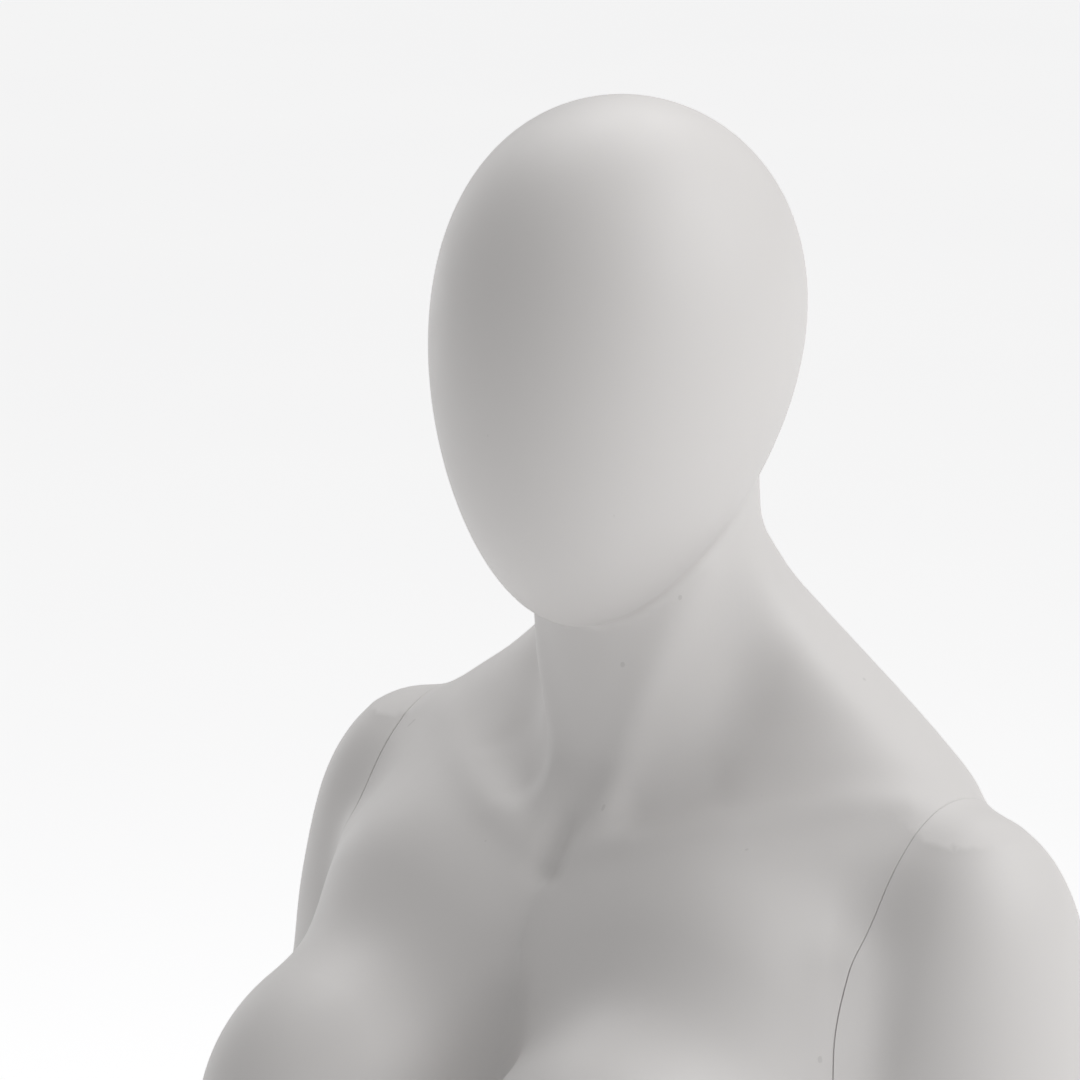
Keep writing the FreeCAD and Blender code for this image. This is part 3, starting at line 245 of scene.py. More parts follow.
def away(path, x, y, z):
    """Distance to a line through points."""
    gaps = [capsule(a, b, 0, 0, x, y, z) for a, b in zip(path[:-1], path[1:])]
    return np.minimum.reduce(gaps) if len(gaps) > 1 else gaps[0]


def swell(d, path, height, width, x, y, z):
    """Raise the surface along a line, or sink it where height is negative."""
    low = np.min(path, axis=0) - 3 * width
    high = np.max(path, axis=0) + 3 * width
    near = (x > low[0]) & (x < high[0]) & (y > low[1]) & (y < high[1]) & (z > low[2]) & (z < high[2])
    if not near.any():
        return d
    out = np.array(d, float)
    gap = away(path, x[near], y[near], z[near])
    out[near] -= height * np.exp(-(gap / width) ** 2)
    return out


def head(x, y, z):
    """An egg, leaning forward to its chin and turned to the figure's left."""
    turn, lean = math.radians(-HEAD_TURN), math.radians(HEAD_LEAN)
    px, py, pz = x - HEAD_CENTRE[0], y - HEAD_CENTRE[1], z - HEAD_CENTRE[2]
    u = math.cos(turn) * px - math.sin(turn) * py
    q = math.sin(turn) * px + math.cos(turn) * py
    v = math.cos(lean) * q - math.sin(lean) * pz
    w = (math.sin(lean) * q + math.cos(lean) * pz) / HEAD_HALF[2]
    girth = 1 + HEAD_TAPER * np.clip(w, -0.999, 0.999)
    u, v = u / (HEAD_HALF[0] * girth), v / (HEAD_HALF[1] * girth)
    share = np.sqrt(u * u + v * v + w * w)
    slope = np.sqrt((u / HEAD_HALF[0]) ** 2 + (v / HEAD_HALF[1]) ** 2 + (w / HEAD_HALF[2]) ** 2)
    return share * (share - 1) / np.maximum(slope, 1e-6)


# soft modelling of the left side of the upper body: line, height, width
UPPER_FORMS = [
    ([(14, -54, 1450), (40, -50, 1461), (80, -30, 1472), (118, 0, 1481), (140, 16, 1484)], 3.0, 9),
    ([(50, -54, 1436), (90, -40, 1445), (118, -18, 1450)], -1.6, 16),
    ([(13, -46, 1462), (30, -34, 1520), (44, -14, 1580)], 3.0, 10),
    ([(36, -44, 1480), (60, -26, 1490)], -3.5, 12),
    ([(0, -62, 1446), (0, -52, 1464)], -6.0, 8),
    ([(150, -30, 1385), (138, -52, 1345), (128, -62, 1318)], 1.5, 16),
    ([(0, -92, 1395), (0, -112, 1350), (0, -118, 1300)], -5.0, 15),
    ([(0, 150, 1440), (0, 140, 1330), (0, 110, 1190), (0, 104, 1120)], -4.5, 15),
    ([(62, 132, 1430), (70, 138, 1370), (78, 130, 1320)], 4.0, 22),
    ([(96, 118, 1320), (60, 132, 1300), (30, 128, 1310)], -2.0, 18),
    ([(40, -140, 1236), (82, -142, 1226), (128, -108, 1236)], -2.5, 14),
]
# the same over the seams of the left shoulder, where the arm has joined the body
SEAM_FORMS = [
    ([(152, 0, 1264), (152, -14, 1286), (152, -26, 1308)], 6.0, 14),
    ([(149, 26, 1262), (146, 44, 1282), (142, 62, 1304), (142, 68, 1322)], 6.5, 13),
    ([(152, -22, 1298), (153, -32, 1330), (152, -38, 1362), (150, -40, 1392), (150, -36, 1422)], 4.4, 17),
    ([(142, 82, 1445)], 3.5, 12),
]
ARM_FORMS = [
    ([(196, 70, 1140), (238, 84, 1110), (250, 72, 1080)], 1.2, 14),
    ([(222, -16, 1128), (238, -24, 1104)], -2.2, 16),
    ([(236, 84, 1128)], 3.0, 12),
    ([(300, 16, 925)], 2.6, 9),
    ([(210, 10, 1330), (222, 14, 1250)], -1.6, 16),
]


def spot(point):
    """A line so short that it acts as a point."""
    return [point, (point[0], point[1], point[2] + 0.1)]


def shape_with(d, forms, x, y, z):
    """Raise or sink the surface along each form's line, or round its one point."""
    for path, height, width in forms:
        d = swell(d, path if len(path) > 1 else spot(path[0]), height, width, x, y, z)
    return d


def upper_body(x, y, z):
    """Torso, neck, head and both arms to below the wrists."""
    ax = np.abs(x)
    d = limb("trunk", ax, y, z)
    d = join(d, limb("neck", ax, y, z), NECK_FILLET)
    d = join(d, ellipsoid(UPPER_CHEST, ax, y, z), CHEST_FILLET)
    d = join(d, ellipsoid(BREAST, ax, y, z), BREAST_FILLET)
    d = shape_with(d, UPPER_FORMS, ax, y, z)
    arm = join(limb("arm", ax, y, z), ellipsoid(DELTOID, ax, y, z), DELTOID_FILLET)
    arm = shape_with(arm, ARM_FORMS, ax, y, z)
    risen = np.clip((z - ARMPIT) / ARMPIT_RISE, 0, 1)
    d = join(d, arm, ARMPIT_FILLET + (SHOULDER_FILLET - ARMPIT_FILLET) * risen)
    d = shape_with(d, SEAM_FORMS, ax, y, z)
    return join(d, head(x, y, z), CHIN_FILLET)


TOES = [  # from, to, radius at each: great toe to little toe, seen on the left foot
    ((-19, -126, 22), (-21, -158, 13.5), 13.5, 10.5),
    ((-1, -132, 20), (-2, -157, 11.0), 10.5, 8.0),
    ((12, -129, 18), (13, -150, 10.0), 10.0, 7.4),
    ((23, -122, 17), (26, -141, 9.6), 9.5, 7.0),
    ((33, -112, 16), (37, -130, 9.0), 9.0, 6.6),
]
FOOT_FORMS = [
    ([(-28, 12, 116)], 2.4, 12),
    ([(29, 18, 108)], 2.4, 12),
    ([(0, 48, 150), (0, 50, 120)], 2.0, 10),
    ([(-14, 34, 135), (-16, 26, 112)], -2.4, 9),
    ([(15, 36, 132), (17, 30, 104)], -2.4, 9),
    ([(-20, -40, 30), (-22, -70, 16)], -5.0, 18),
    ([(0, -20, 108), (-8, -70, 76)], 1.6, 12),
]
LEG_FORMS = [
    ([(96, -62, 462), (96, -64, 478)], 3.0, 22),
    ([(72, -52, 470), (72, -50, 430)], -2.4, 14),
    ([(122, -50, 470), (120, -48, 430)], -2.4, 14),
    ([(96, 66, 452), (96, 66, 470)], -3.5, 20),
    ([(96, -44, 400), (97, -38, 250)], 1.2, 14),
    ([(96, 84, 360), (96, 64, 270)], -1.4, 9),
    ([(78, -84, 640), (86, -66, 540)], 1.4, 24),
]
PELVIS_FORMS = [
    ([(0, -134, 1031), (0, -136, 1027)], -4.0, 7),
    ([(0, 168, 960), (0, 160, 884)], -9.0, 16),
    ([(0, 128, 1080), (0, 138, 1010)], -4.0, 18),
    ([(34, 132, 1022)], -3.2, 13),
    ([(110, -108, 912), (160, -80, 955)], -1.6, 22),
    ([(36, 116, 816), (84, 122, 812), (112, 112, 818)], -2.4, 15),
]


def foot(x, y, z):
    """The left foot, on its toes as if in a heeled shoe."""
    u = x - FOOT_X - (20 - y) * TOE_OUT
    d = join(ellipsoid(HEEL, u, y, z), capsule(*INSTEP, u, y, z), HEEL_FILLET)
    d = join(d, ellipsoid(FOOT_BALL, u, y, z), BALL_FILLET)
    d = join(d, ellipsoid(TOE_BOX, u, y, z), TOE_BOX_FILLET)
    toes = join_all([capsule(*toe, u, y, z) for toe in TOES], TOE_FILLET)
    d = join(d, toes, TOE_ROOT_FILLET)
    return shape_with(d, FOOT_FORMS, u, y, z)


def leg(side, x, y, z):
    """One leg with its foot: side is 1 for the left leg, and -1 for the right, which steps forward."""
    t = np.clip((STRIDE_FROM - z) / (STRIDE_FROM - STRIDE_TO), 0, 1)
    forward = STRIDE * t * t * (3 - 2 * t) if side < 0 else 0.0
    d = shape_with(limb("leg", side * x, y + forward, z), LEG_FORMS, side * x, y + forward, z)
    low = z < FOOT_TOP
    if low.any():
        d = np.array(d)
        forward = forward[low] if side < 0 else 0.0
        d[low] = join(d[low], foot(side * x[low], y[low] + forward, z[low]), ANKLE_FILLET)
    return d


def lower_body(x, y, z):
    """Pelvis, legs and feet."""
    ax = np.abs(x)
    d = limb("trunk", x, y, z)
    d = join(d, ellipsoid(BUTTOCK, ax, y, z), BUTTOCK_FILLET)
    d = shape_with(d, PELVIS_FORMS, ax, y, z)
    return join(d, np.minimum(leg(1, x, y, z), leg(-1, x, y, z)), HIP_FILLET)


# ---------------------------------------------------------------- left hand
PALM_FACE = np.array([-1.0, 0.1, 0.0])
PALM_FACE = PALM_FACE - WRIST[1] * (PALM_FACE @ WRIST[1])
PALM_FACE /= np.linalg.norm(PALM_FACE)
THUMB_SIDE = np.cross(WRIST[1], PALM_FACE)
THUMB_SIDE *= -np.sign(THUMB_SIDE[1])
# distance from the wrist, middle and half thickness, shift to the thumb side, half breadth on each side,
# squareness
PALM = [
    (-12, 0, 21.5, 0, 27, 27, 2.0),
    (8, 0, 20, 0, 27.5, 27.5, 2.0),
    (24, 0, 18, 1, 30, 30, 2.2),
    (42, 0, 16.5, 2, 35, 35, 2.4),
    (60, 0, 15.5, 2, 38, 38, 2.5),
    (76, 0, 14, 1, 39, 39, 2.6),
    (90, 0, 11, 1, 36, 36, 2.4),
    (100, 0, 6, 1, 28, 28, 2.2),
]
# place across the hand, distance of the root from the wrist, length, radius, curl towards the palm
FINGERS = [
    (27, 84, 70, 9.0, 0.30),
    (10, 90, 78, 9.2, 0.34),
    (-8, 87, 72, 8.8, 0.40),
    (-25, 80, 58, 7.8, 0.46),
]
LIMBS["palm"] = dense(PALM)


def finger(spec, palm, thumb, along):
    """Three bones with slightly fuller joints, and a shallow nail."""
    across, root, length, radius, curl = spec
    shares = np.array([-0.16, 0.36, 0.68, 0.93])
    girths = np.array([0.98, 0.96, 0.86, 0.70]) * radius
    run = length * shares
    points = [(curl * a * max(s, 0) - 1.0, across * (1 + 0.06 * s), root + a) for a, s in zip(run, shares)]
    d = join_all(chain(points, girths, palm, thumb, along), KNUCKLE_FILLET)
    for a, r in zip(points[1:3], girths[1:3]):
        d = swell(d, spot((a[0] + r, a[1], a[2])), -0.5, 3.0, palm, thumb, along)
        d = swell(d, spot((a[0] - r, a[1], a[2])), 0.6, 4.0, palm, thumb, along)
    tip = points[3]
    nail = [(tip[0] - girths[3] - 1, tip[1], tip[2] - 6), (tip[0] - girths[3] - 0.5, tip[1], tip[2] + 1)]
    return swell(d, nail, -0.9, 3.4, palm, thumb, along)


def hand(x, y, z):
    """The left hand, fingers together and slightly curled towards the thigh."""
    p = np.stack([x, y, z], -1) - WRIST[0]
    along, palm, thumb = p @ WRIST[1], p @ PALM_FACE, p @ THUMB_SIDE
    d = limb("palm", palm, thumb, along)
    fingers = join_all([finger(spec, palm, thumb, along) for spec in FINGERS], FINGER_FILLET)
    d = join(d, fingers, FINGER_ROOT_FILLET)
    shares = [-0.1, 0.35, 0.68, 0.94]
    points = [(5 + 12 * s, 19 + 34 * s - 10 * s * s, 26 + 58 * s) for s in shares]
    girths = [13.0, 11.4, 10.2, 7.6]
    thumb_bones = join_all(chain(points, girths, palm, thumb, along), THUMB_JOINT_FILLET)
    d = join(d, thumb_bones, THUMB_ROOT_FILLET)
    return swell(d, [(17, 0, 50), (15, -4, 74)], -2.2, 12, palm, thumb, along)


# ---------------------------------------------------------------- from field to skin
def lattice(field, xs, ys, zs, scale=np.ones_like):
    """Vertices and quads of the zero surface of a field.

    A lattice point is x = xs * scale(z), y = ys * scale(z), z = zs.
    """
    spread = scale(zs)
    shape = (len(xs), len(ys), len(zs))

    def place(i, j, k):
        return xs[i] * spread[k], ys[j] * spread[k], zs[k]

    step = 4
    rough = np.ix_(*[np.arange(0, n, step) for n in shape])
    grid = [np.broadcast_to(a, tuple(len(r.ravel()) for r in rough)) for a in place(*rough)]
    coarse = field(*[g.ravel() for g in grid]).reshape(grid[0].shape)
    fine = coarse
    for axis in range(3):
        fine = np.repeat(fine, step, axis)
    fine = fine[:shape[0], :shape[1], :shape[2]]
    values = np.where(fine > 0, 3.0, -3.0).astype(np.float32)
    cell = np.maximum(spread, np.gradient(zs))
    band = np.abs(fine) < (cell * step * 2.3)[None, None, :]
    i, j, k = np.nonzero(band)
    d = field(*place(i, j, k)) / cell[k]
    values[i, j, k] = np.clip(d, -3, 3)
    grid = openvdb.FloatGrid(3.0)
    grid.copyFromArray(values)
    points, quads = grid.convertToQuads(isovalue=0.0)
    heights = np.interp(points[:, 2], np.arange(len(zs)), zs)
    size = scale(heights)
    x = np.interp(points[:, 0], np.arange(len(xs)), xs) * size
    y = np.interp(points[:, 1], np.arange(len(ys)), ys) * size
    return np.stack([x, y, heights], -1), quads.astype(np.int64)


def slope_of(field, p, e=0.35):
    g = np.empty_like(p)
    for k in range(3):
        o = np.zeros(3)
        o[k] = e
        g[:, k] = (field(*(p + o).T) - field(*(p - o).T)) / (2 * e)
    return g


def settle(field, p, rounds=2):
    """Move points onto the zero surface."""
    for _ in range(rounds):
        g = slope_of(field, p)
        move = g * (field(*p.T) / np.maximum((g * g).sum(1), 0.1))[:, None]
        length = np.linalg.norm(move, axis=1, keepdims=True)
        p = p - move * np.minimum(1, 2.5 / np.maximum(length, 1e-9))
    return p


def normals_of(field, p):
    g = slope_of(field, p)
    return g / np.maximum(np.linalg.norm(g, axis=1, keepdims=True), 1e-9)


def relax(field, p, quads, rounds=2):
    """Even out the quads along the surface."""
    a = np.concatenate([quads[:, k] for k in range(4)])
    b = np.concatenate([quads[:, (k + 1) % 4] for k in range(4)])
    count = np.bincount(a, minlength=len(p)) + np.bincount(b, minlength=len(p))
    for _ in range(rounds):
        mean = np.stack([np.bincount(a, p[b, k], len(p)) + np.bincount(b, p[a, k], len(p))
                         for k in range(3)], -1) / count[:, None]
        p = settle(field, p + (mean - p) * 0.6, 1)
    return settle(field, p, 2)


def skin_of(points, quads):
    """A bmesh of the closed skin."""
    mesh = bpy.data.meshes.new("skin")
    mesh.from_pydata(points.tolist(), [], quads.tolist())
    bm = bmesh.new()
    bm.from_mesh(mesh)
    bpy.data.meshes.remove(mesh)
    return bm


def snap_to(field, points, seam, region, reach):
    """Bring the vertices nearest to a seam onto it, so that the cut leaves no slivers."""
    point, axis = seam
    gap = (points - point) @ axis
    near = np.nonzero((np.abs(gap) < reach) & region(points))[0]
    p = points[near]
    for _ in range(4):
        n = normals_of(field, p)
        along = axis - n * (n @ axis)[:, None]
        along /= np.maximum((along * along).sum(1), 0.2)[:, None]
        p = settle(field, p - along * ((p - point) @ axis)[:, None], 1)
    points[near] = p


def part_at(bm, seam, region):
    """Cut the faces of a region along a plane and part the skin there."""
    point, axis = seam
    faces = [f for f in bm.faces if region(f.calc_center_median())]
    edges = {e for f in faces for e in f.edges}
    verts = {v for f in faces for v in f.verts}
    cut = bmesh.ops.bisect_plane(bm, geom=list(verts) + list(edges) + faces, dist=0.05,
                                 plane_co=Vector(point), plane_no=Vector(axis))
    lips = [e for e in cut["geom_cut"] if isinstance(e, bmesh.types.BMEdge)]
    bmesh.ops.split_edges(bm, edges=lips)


SCRAP_FACES = 200


def islands(bm):
    """Vertex and face lists of each connected piece, without scraps from the cuts."""
    bm.verts.index_update()
    seen = set()
    pieces = []
    for seed in bm.verts:
        if seed.index in seen or not seed.link_faces:
            continue
        seen.add(seed.index)
        stack, members = [seed], []
        while stack:
            v = stack.pop()
            members.append(v)
            for e in v.link_edges:
                w = e.other_vert(v)
                if w.index not in seen:
                    seen.add(w.index)
                    stack.append(w)
        number = {v.index: n for n, v in enumerate(members)}
        faces = {f for v in members for f in v.link_faces}
        faces = [[number[v.index] for v in f.verts] for f in sorted(faces, key=lambda f: f.index)]
        pieces.append((np.array([v.co[:] for v in members]), faces))
    return [piece for piece in pieces if len(piece[1]) > SCRAP_FACES]


def build_piece(name, field, points, faces, seams, wall=WALL):
    """A shell with a wall: outer skin, softly broken edge at each seam, seam face and inner skin.

    seams is a list of (point, axis facing away from the piece). A piece with no wall is solid, and a
    flat face closes it at the seam.
    """
    outward = normals_of(field, points)
    use = {}
    for f in faces:
        for a, b in zip(f, f[1:] + f[:1]):
            use[(a, b)] = use.get((a, b), 0) + 1
    rim_edges = [(a, b) for (a, b) in use if (b, a) not in use]
    rim = sorted({a for e in rim_edges for a in e})
    slot = {v: i for i, v in enumerate(rim)}
    axes = np.zeros((len(rim), 3))
    best = np.full(len(rim), 1e9)
    for point, axis in seams:
        gap = np.abs((points[rim] - point) @ axis)
        take = gap < best
        axes[take] = axis
        best[take] = gap[take]
    p, n = points[rim], outward[rim]
    inward = -(n - axes * (n * axes).sum(1, keepdims=True))
    inward /= np.maximum(np.linalg.norm(inward, axis=1, keepdims=True), 1e-6)
    tangent = axes - n * (n * axes).sum(1, keepdims=True)
    tangent /= np.maximum(np.linalg.norm(tangent, axis=1, keepdims=True), 1e-6)
    points = points.copy()
    points[rim] = p - tangent * (HALF_GAP + EDGE)
    face_level = p - axes * HALF_GAP
    ring_one = face_level + inward * EDGE
    verts = [points, ring_one]
    normal = [outward, (n + axes) / np.linalg.norm(n + axes, axis=1, keepdims=True)]
    count = len(points)
    one = {v: count + i for v, i in slot.items()}
    if wall:
        ring_two = face_level + inward * (wall - 0.1)
        inner = points - outward * wall
        inner[rim] = points[rim] + inward * wall
        verts += [ring_two, inner]
        normal += [(axes + inward) / np.linalg.norm(axes + inward, axis=1, keepdims=True), -outward]
        two = {v: count + len(rim) + i for v, i in slot.items()}
        base = count + 2 * len(rim)
        polys = faces + [[base + v for v in reversed(f)] for f in faces]
        for a, b in rim_edges:
            polys += [[b, a, one[a], one[b]], [one[b], one[a], two[a], two[b]],
                      [two[b], two[a], base + a, base + b]]
    else:
        polys = list(faces)
        middle = count + len(rim)
        verts.append(ring_one.mean(0)[None])
        normal.append(axes.mean(0)[None])
        for a, b in rim_edges:
            polys += [[b, a, one[a], one[b]], [one[b], one[a], middle]]
    finish_mesh(name, np.concatenate(verts), polys, np.concatenate(normal))


PIECES = {}


def finish_mesh(name, verts, polys, normal):
    """Add a piece to the scene, in metres, shaded with the normals of its field."""
    mesh = bpy.data.meshes.new(name)
    mesh.from_pydata((verts / 1000).tolist(), [], polys)
    mesh.validate()
    mesh.update()
    mesh.shade_smooth()
    mesh.normals_split_custom_set_from_vertices(normal.tolist())
    piece = bpy.data.objects.new(name, mesh)
    bpy.context.scene.collection.objects.link(piece)
    PIECES[name] = piece


def flip(verts, faces):
    """The mirror image across the middle of the figure."""
    return verts * np.array([-1, 1, 1]), [list(reversed(f)) for f in faces]


def flipped_seam(seam):
    return seam[0] * np.array([-1, 1, 1]), seam[1] * np.array([-1, 1, 1])


def other_side(seam):
    """The same seam as the piece beyond it sees it."""
    return seam[0], -seam[1]


def anywhere(points):
    return np.ones(len(points), bool)


def in_shoulder(out, height):
    return (out > SHOULDER_FROM) & (height > SEAM_FROM)


def make_upper():
    """Torso with head, and the two arms."""
    pitch = 4.0
    xs, ys = np.arange(-332, 333, pitch), np.arange(-196, 152, pitch)
    zs = np.arange(868, 1796, pitch)
    points, quads = lattice(upper_body, xs, ys, zs)
    points = relax(upper_body, points, quads)
    left, right = SHOULDER, flipped_seam(SHOULDER)
    sides = ((left, 1), (right, -1))
    wrists = ((WRIST, 1), (flipped_seam(WRIST), -1))
    for seam, side in sides:
        snap_to(upper_body, points, seam, lambda p, s=side: in_shoulder(s * p[:, 0], p[:, 2]), 1.2)
    for seam, side in wrists:
        snap_to(upper_body, points, seam, lambda p, s=side: s * p[:, 0] > WRIST_FROM, 1.2)
    snap_to(upper_body, points, WAIST, lambda p: np.abs(p[:, 0]) < WAIST_TO, 1.2)
    bm = skin_of(points, quads)
    for seam, side in sides:
        part_at(bm, seam, lambda c, s=side: in_shoulder(s * c.x, c.z))
    for seam, side in wrists:
        part_at(bm, seam, lambda c, s=side: s * c.x > WRIST_FROM and c.z < 1000)
    part_at(bm, WAIST, lambda c: abs(c.x) < WAIST_TO and c.z < 1200)
    for verts, faces in islands(bm):
        top = verts[:, 2].max()
        if top > HEAD_CENTRE[2]:
            build_piece("torso_head", upper_body, verts, faces, [other_side(WAIST), left, right])
        elif top > SHOULDER[0][2]:
            turn = 0 if verts[:, 0].mean() > 0 else 1
            seams = [other_side(sides[turn][0]), wrists[turn][0]]
            build_piece(("left_arm", "right_arm")[turn], upper_body, verts, faces, seams)
    bm.free()


def make_lower():
    """Pelvis with the left leg, and the right leg."""
    def scale(z):
        return np.interp(z, [0, 120, 260, 1200], [2.3, 2.3, 4.4, 4.4])

    heights = [2.0]
    while heights[-1] < 1115:
        heights.append(heights[-1] + float(scale(np.array(heights[-1]))))
    zs = np.array(heights)
    xs, ys = np.arange(-72, 73, 1.0), np.arange(-86, 44, 1.0)
    points, quads = lattice(lower_body, xs, ys, zs, scale)
    points = relax(lower_body, points, quads)
    snap_to(lower_body, points, HIP, lambda p: p[:, 0] < HIP_TO, 1.3)
    snap_to(lower_body, points, WAIST, anywhere, 1.3)
    bm = skin_of(points, quads)
    part_at(bm, HIP, lambda c: c.x < HIP_TO)
    part_at(bm, WAIST, lambda c: c.z > 1050)
    for verts, faces in islands(bm):
        if verts[:, 2].min() > WAIST[0][2] - 5:      # the trunk above the waist
            continue
        if verts[:, 0].max() > 60:
            build_piece("pelvis_left_leg", lower_body, verts, faces, [WAIST, HIP])
        else:
            build_piece("right_leg", lower_body, verts, faces, [other_side(HIP)])
    bm.free()


def make_hands():
    """The left hand, and the right one as its mirror image."""
    pitch = 1.7
    xs, ys, zs = np.arange(255, 350, pitch), np.arange(-120, 40, pitch), np.arange(690, 912, pitch)
    points, quads = lattice(hand, xs, ys, zs)
    points = relax(hand, points, quads)
    snap_to(hand, points, WRIST, anywhere, 0.5)
    bm = skin_of(points, quads)
    part_at(bm, WRIST, lambda c: c.z > 850)
    for verts, faces in islands(bm):
        if verts[:, 2].min() > 850:                  # the stub above the wrist
            continue
        build_piece("left_hand", hand, verts, faces, [other_side(WRIST)], 0)
        verts, faces = flip(verts, faces)
        build_piece("right_hand", lambda x, y, z: hand(-x, y, z), verts, faces,
                    [other_side(flipped_seam(WRIST))], 0)
    bm.free()


make_upper()
make_lower()
make_hands()
RIDES = {
    "torso_head": ("upper_body", ["torso_shell", "neck_shell", "head_shell"]),
    "left_arm": ("left_arm", ["left_arm_shell"]),
    "right_arm": ("right_arm", ["right_arm_shell"]),
    "left_hand": ("left_hand", ["left_hand"]),
    "right_hand": ("right_hand", ["right_hand"]),
    "pelvis_left_leg": ("lower_body", ["pelvis_shell", "left_thigh_shell", "left_calf_shell"]),
    "right_leg": ("right_leg", ["right_thigh_shell", "right_calf_shell"]),
}


# ---------------------------------------------------------------- materials
class Finish:
    """A node material built step by step."""

    def __init__(self, name, colour, roughness, metallic=0.0):
        self.material = bpy.data.materials.new(name)
        self.material.use_nodes = True
        self.tree = self.material.node_tree
        self.shader = self.tree.nodes["Principled BSDF"]
        self.shader.inputs["Base Color"].default_value = (*colour, 1)
        self.shader.inputs["Roughness"].default_value = roughness
        self.shader.inputs["Metallic"].default_value = metallic
        self.colour = colour
        self.place = self.add("ShaderNodeTexCoord").outputs["Object"]
        self.height = None

    def add(self, kind, **values):
        node = self.tree.nodes.new(kind)
        for key, value in values.items():
            setattr(node, key, value)
        return node

    def link(self, start, end):
        self.tree.links.new(start, end)

    def noise(self, scale, detail=3.0, rough=0.5, stretch=None, seed=0.0):
        """Noise at features per metre, optionally stretched by a factor along each axis."""
        node = self.add("ShaderNodeTexNoise")
        node.inputs["Scale"].default_value = scale
        node.inputs["Detail"].default_value = detail
        node.inputs["Roughness"].default_value = rough
        mapping = self.add("ShaderNodeMapping")
        mapping.inputs["Scale"].default_value = stretch or (1, 1, 1)
        mapping.inputs["Location"].default_value = (seed, seed * 0.7, seed * 1.3)
        self.link(self.place, mapping.inputs["Vector"])
        self.link(mapping.outputs["Vector"], node.inputs["Vector"])
        return node.outputs["Fac"]

    def spread(self, value, low, high, out_low, out_high):
        """A value brought from one range to another."""
        node = self.add("ShaderNodeMapRange")
        for key, number in (("From Min", low), ("From Max", high), ("To Min", out_low), ("To Max", out_high)):
            node.inputs[key].default_value = number
        self.link(value, node.inputs["Value"])
        return node.outputs["Result"]

    def tint(self, factor, other):
        """Mix the colour so far towards another by a factor."""
        node = self.add("ShaderNodeMix", data_type="RGBA")
        node.inputs["A"].default_value = (*self.colour, 1)
        base = self.shader.inputs["Base Color"]
        if base.is_linked:
            self.link(base.links[0].from_socket, node.inputs["A"])
        node.inputs["B"].default_value = (*other, 1)
        self.link(factor, node.inputs["Factor"])
        self.link(node.outputs["Result"], base)

    def vary_roughness(self, value, low, high):
        self.link(self.spread(value, 0.3, 0.7, low, high), self.shader.inputs["Roughness"])

    def bump(self, value, distance, strength=1.0):
        node = self.add("ShaderNodeBump")
        node.inputs["Distance"].default_value = distance
        node.inputs["Strength"].default_value = strength
        self.link(value, node.inputs["Height"])
        if self.height is not None:
            self.link(self.height, node.inputs["Normal"])
        self.height = node.outputs["Normal"]
        self.link(self.height, self.shader.inputs["Normal"])


def lacquer():
    """Matt, warm white two-pack lacquer with fine orange peel and a few specks."""
    f = Finish("shell_lacquer", (0.60, 0.584, 0.574), 0.52)
    f.tint(f.spread(f.noise(5, 2), 0.35, 0.65, 0.0, 0.10), (0.64, 0.624, 0.614))
    f.tint(f.spread(f.noise(130, 1, seed=4.3), 0.80, 0.815, 0.0, 0.3), (0.36, 0.35, 0.34))
    f.vary_roughness(f.noise(60, 3, seed=2.0), 0.49, 0.55)
    f.bump(f.noise(700, 2, seed=1.0), 0.00004, 0.5)
    f.bump(f.noise(55, 2, seed=3.0), 0.00005, 0.4)
    f.shader.inputs["Coat Weight"].default_value = 0.06
    f.shader.inputs["Coat Roughness"].default_value = 0.38
    return f.material


def fibreboard():
    """Sealed fibreboard: streaks along X, fine pores."""
    f = Finish("panel_board", (0.55, 0.42, 0.28), 0.62)
    grain = f.noise(18, 4, 0.6, stretch=(3.0, 16.0, 16.0))
    f.tint(f.spread(grain, 0.35, 0.7, 0.0, 0.75), (0.36, 0.25, 0.15))
    f.tint(f.spread(f.noise(900, 2), 0.6, 0.75, 0.0, 0.35), (0.22, 0.14, 0.08))
    f.vary_roughness(grain, 0.55, 0.7)
    f.bump(f.noise(420, 3, stretch=(1, 4, 4)), 0.00012)
    return f.material


def metal(name, colour, low, high, stretch, scratches=0.00002):
    """Metal between two roughnesses, with tool marks stretched along one way."""
    f = Finish(name, colour, (low + high) / 2, 1.0)
    lines = f.noise(160, 4, 0.65, stretch=stretch)
    f.tint(f.spread(lines, 0.35, 0.7, 0.0, 0.3), tuple(c * 0.72 for c in colour))
    f.tint(f.spread(f.noise(9, 3, seed=5), 0.45, 0.75, 0.0, 0.25), tuple(c * 0.8 for c in colour))
    f.vary_roughness(lines, low, high)
    f.bump(lines, scratches, 0.6)
    return f.material


def moulded(name, colour, roughness, scale):
    """Moulded nylon or rubber with a fine grain."""
    f = Finish(name, colour, roughness)
    f.tint(f.spread(f.noise(30, 3), 0.4, 0.7, 0.0, 0.4), tuple(min(c * 1.7 + 0.01, 1) for c in colour))
    grain = f.noise(scale, 3, seed=2)
    f.vary_roughness(grain, roughness - 0.06, roughness + 0.08)
    f.bump(grain, 0.00005)
    return f.material


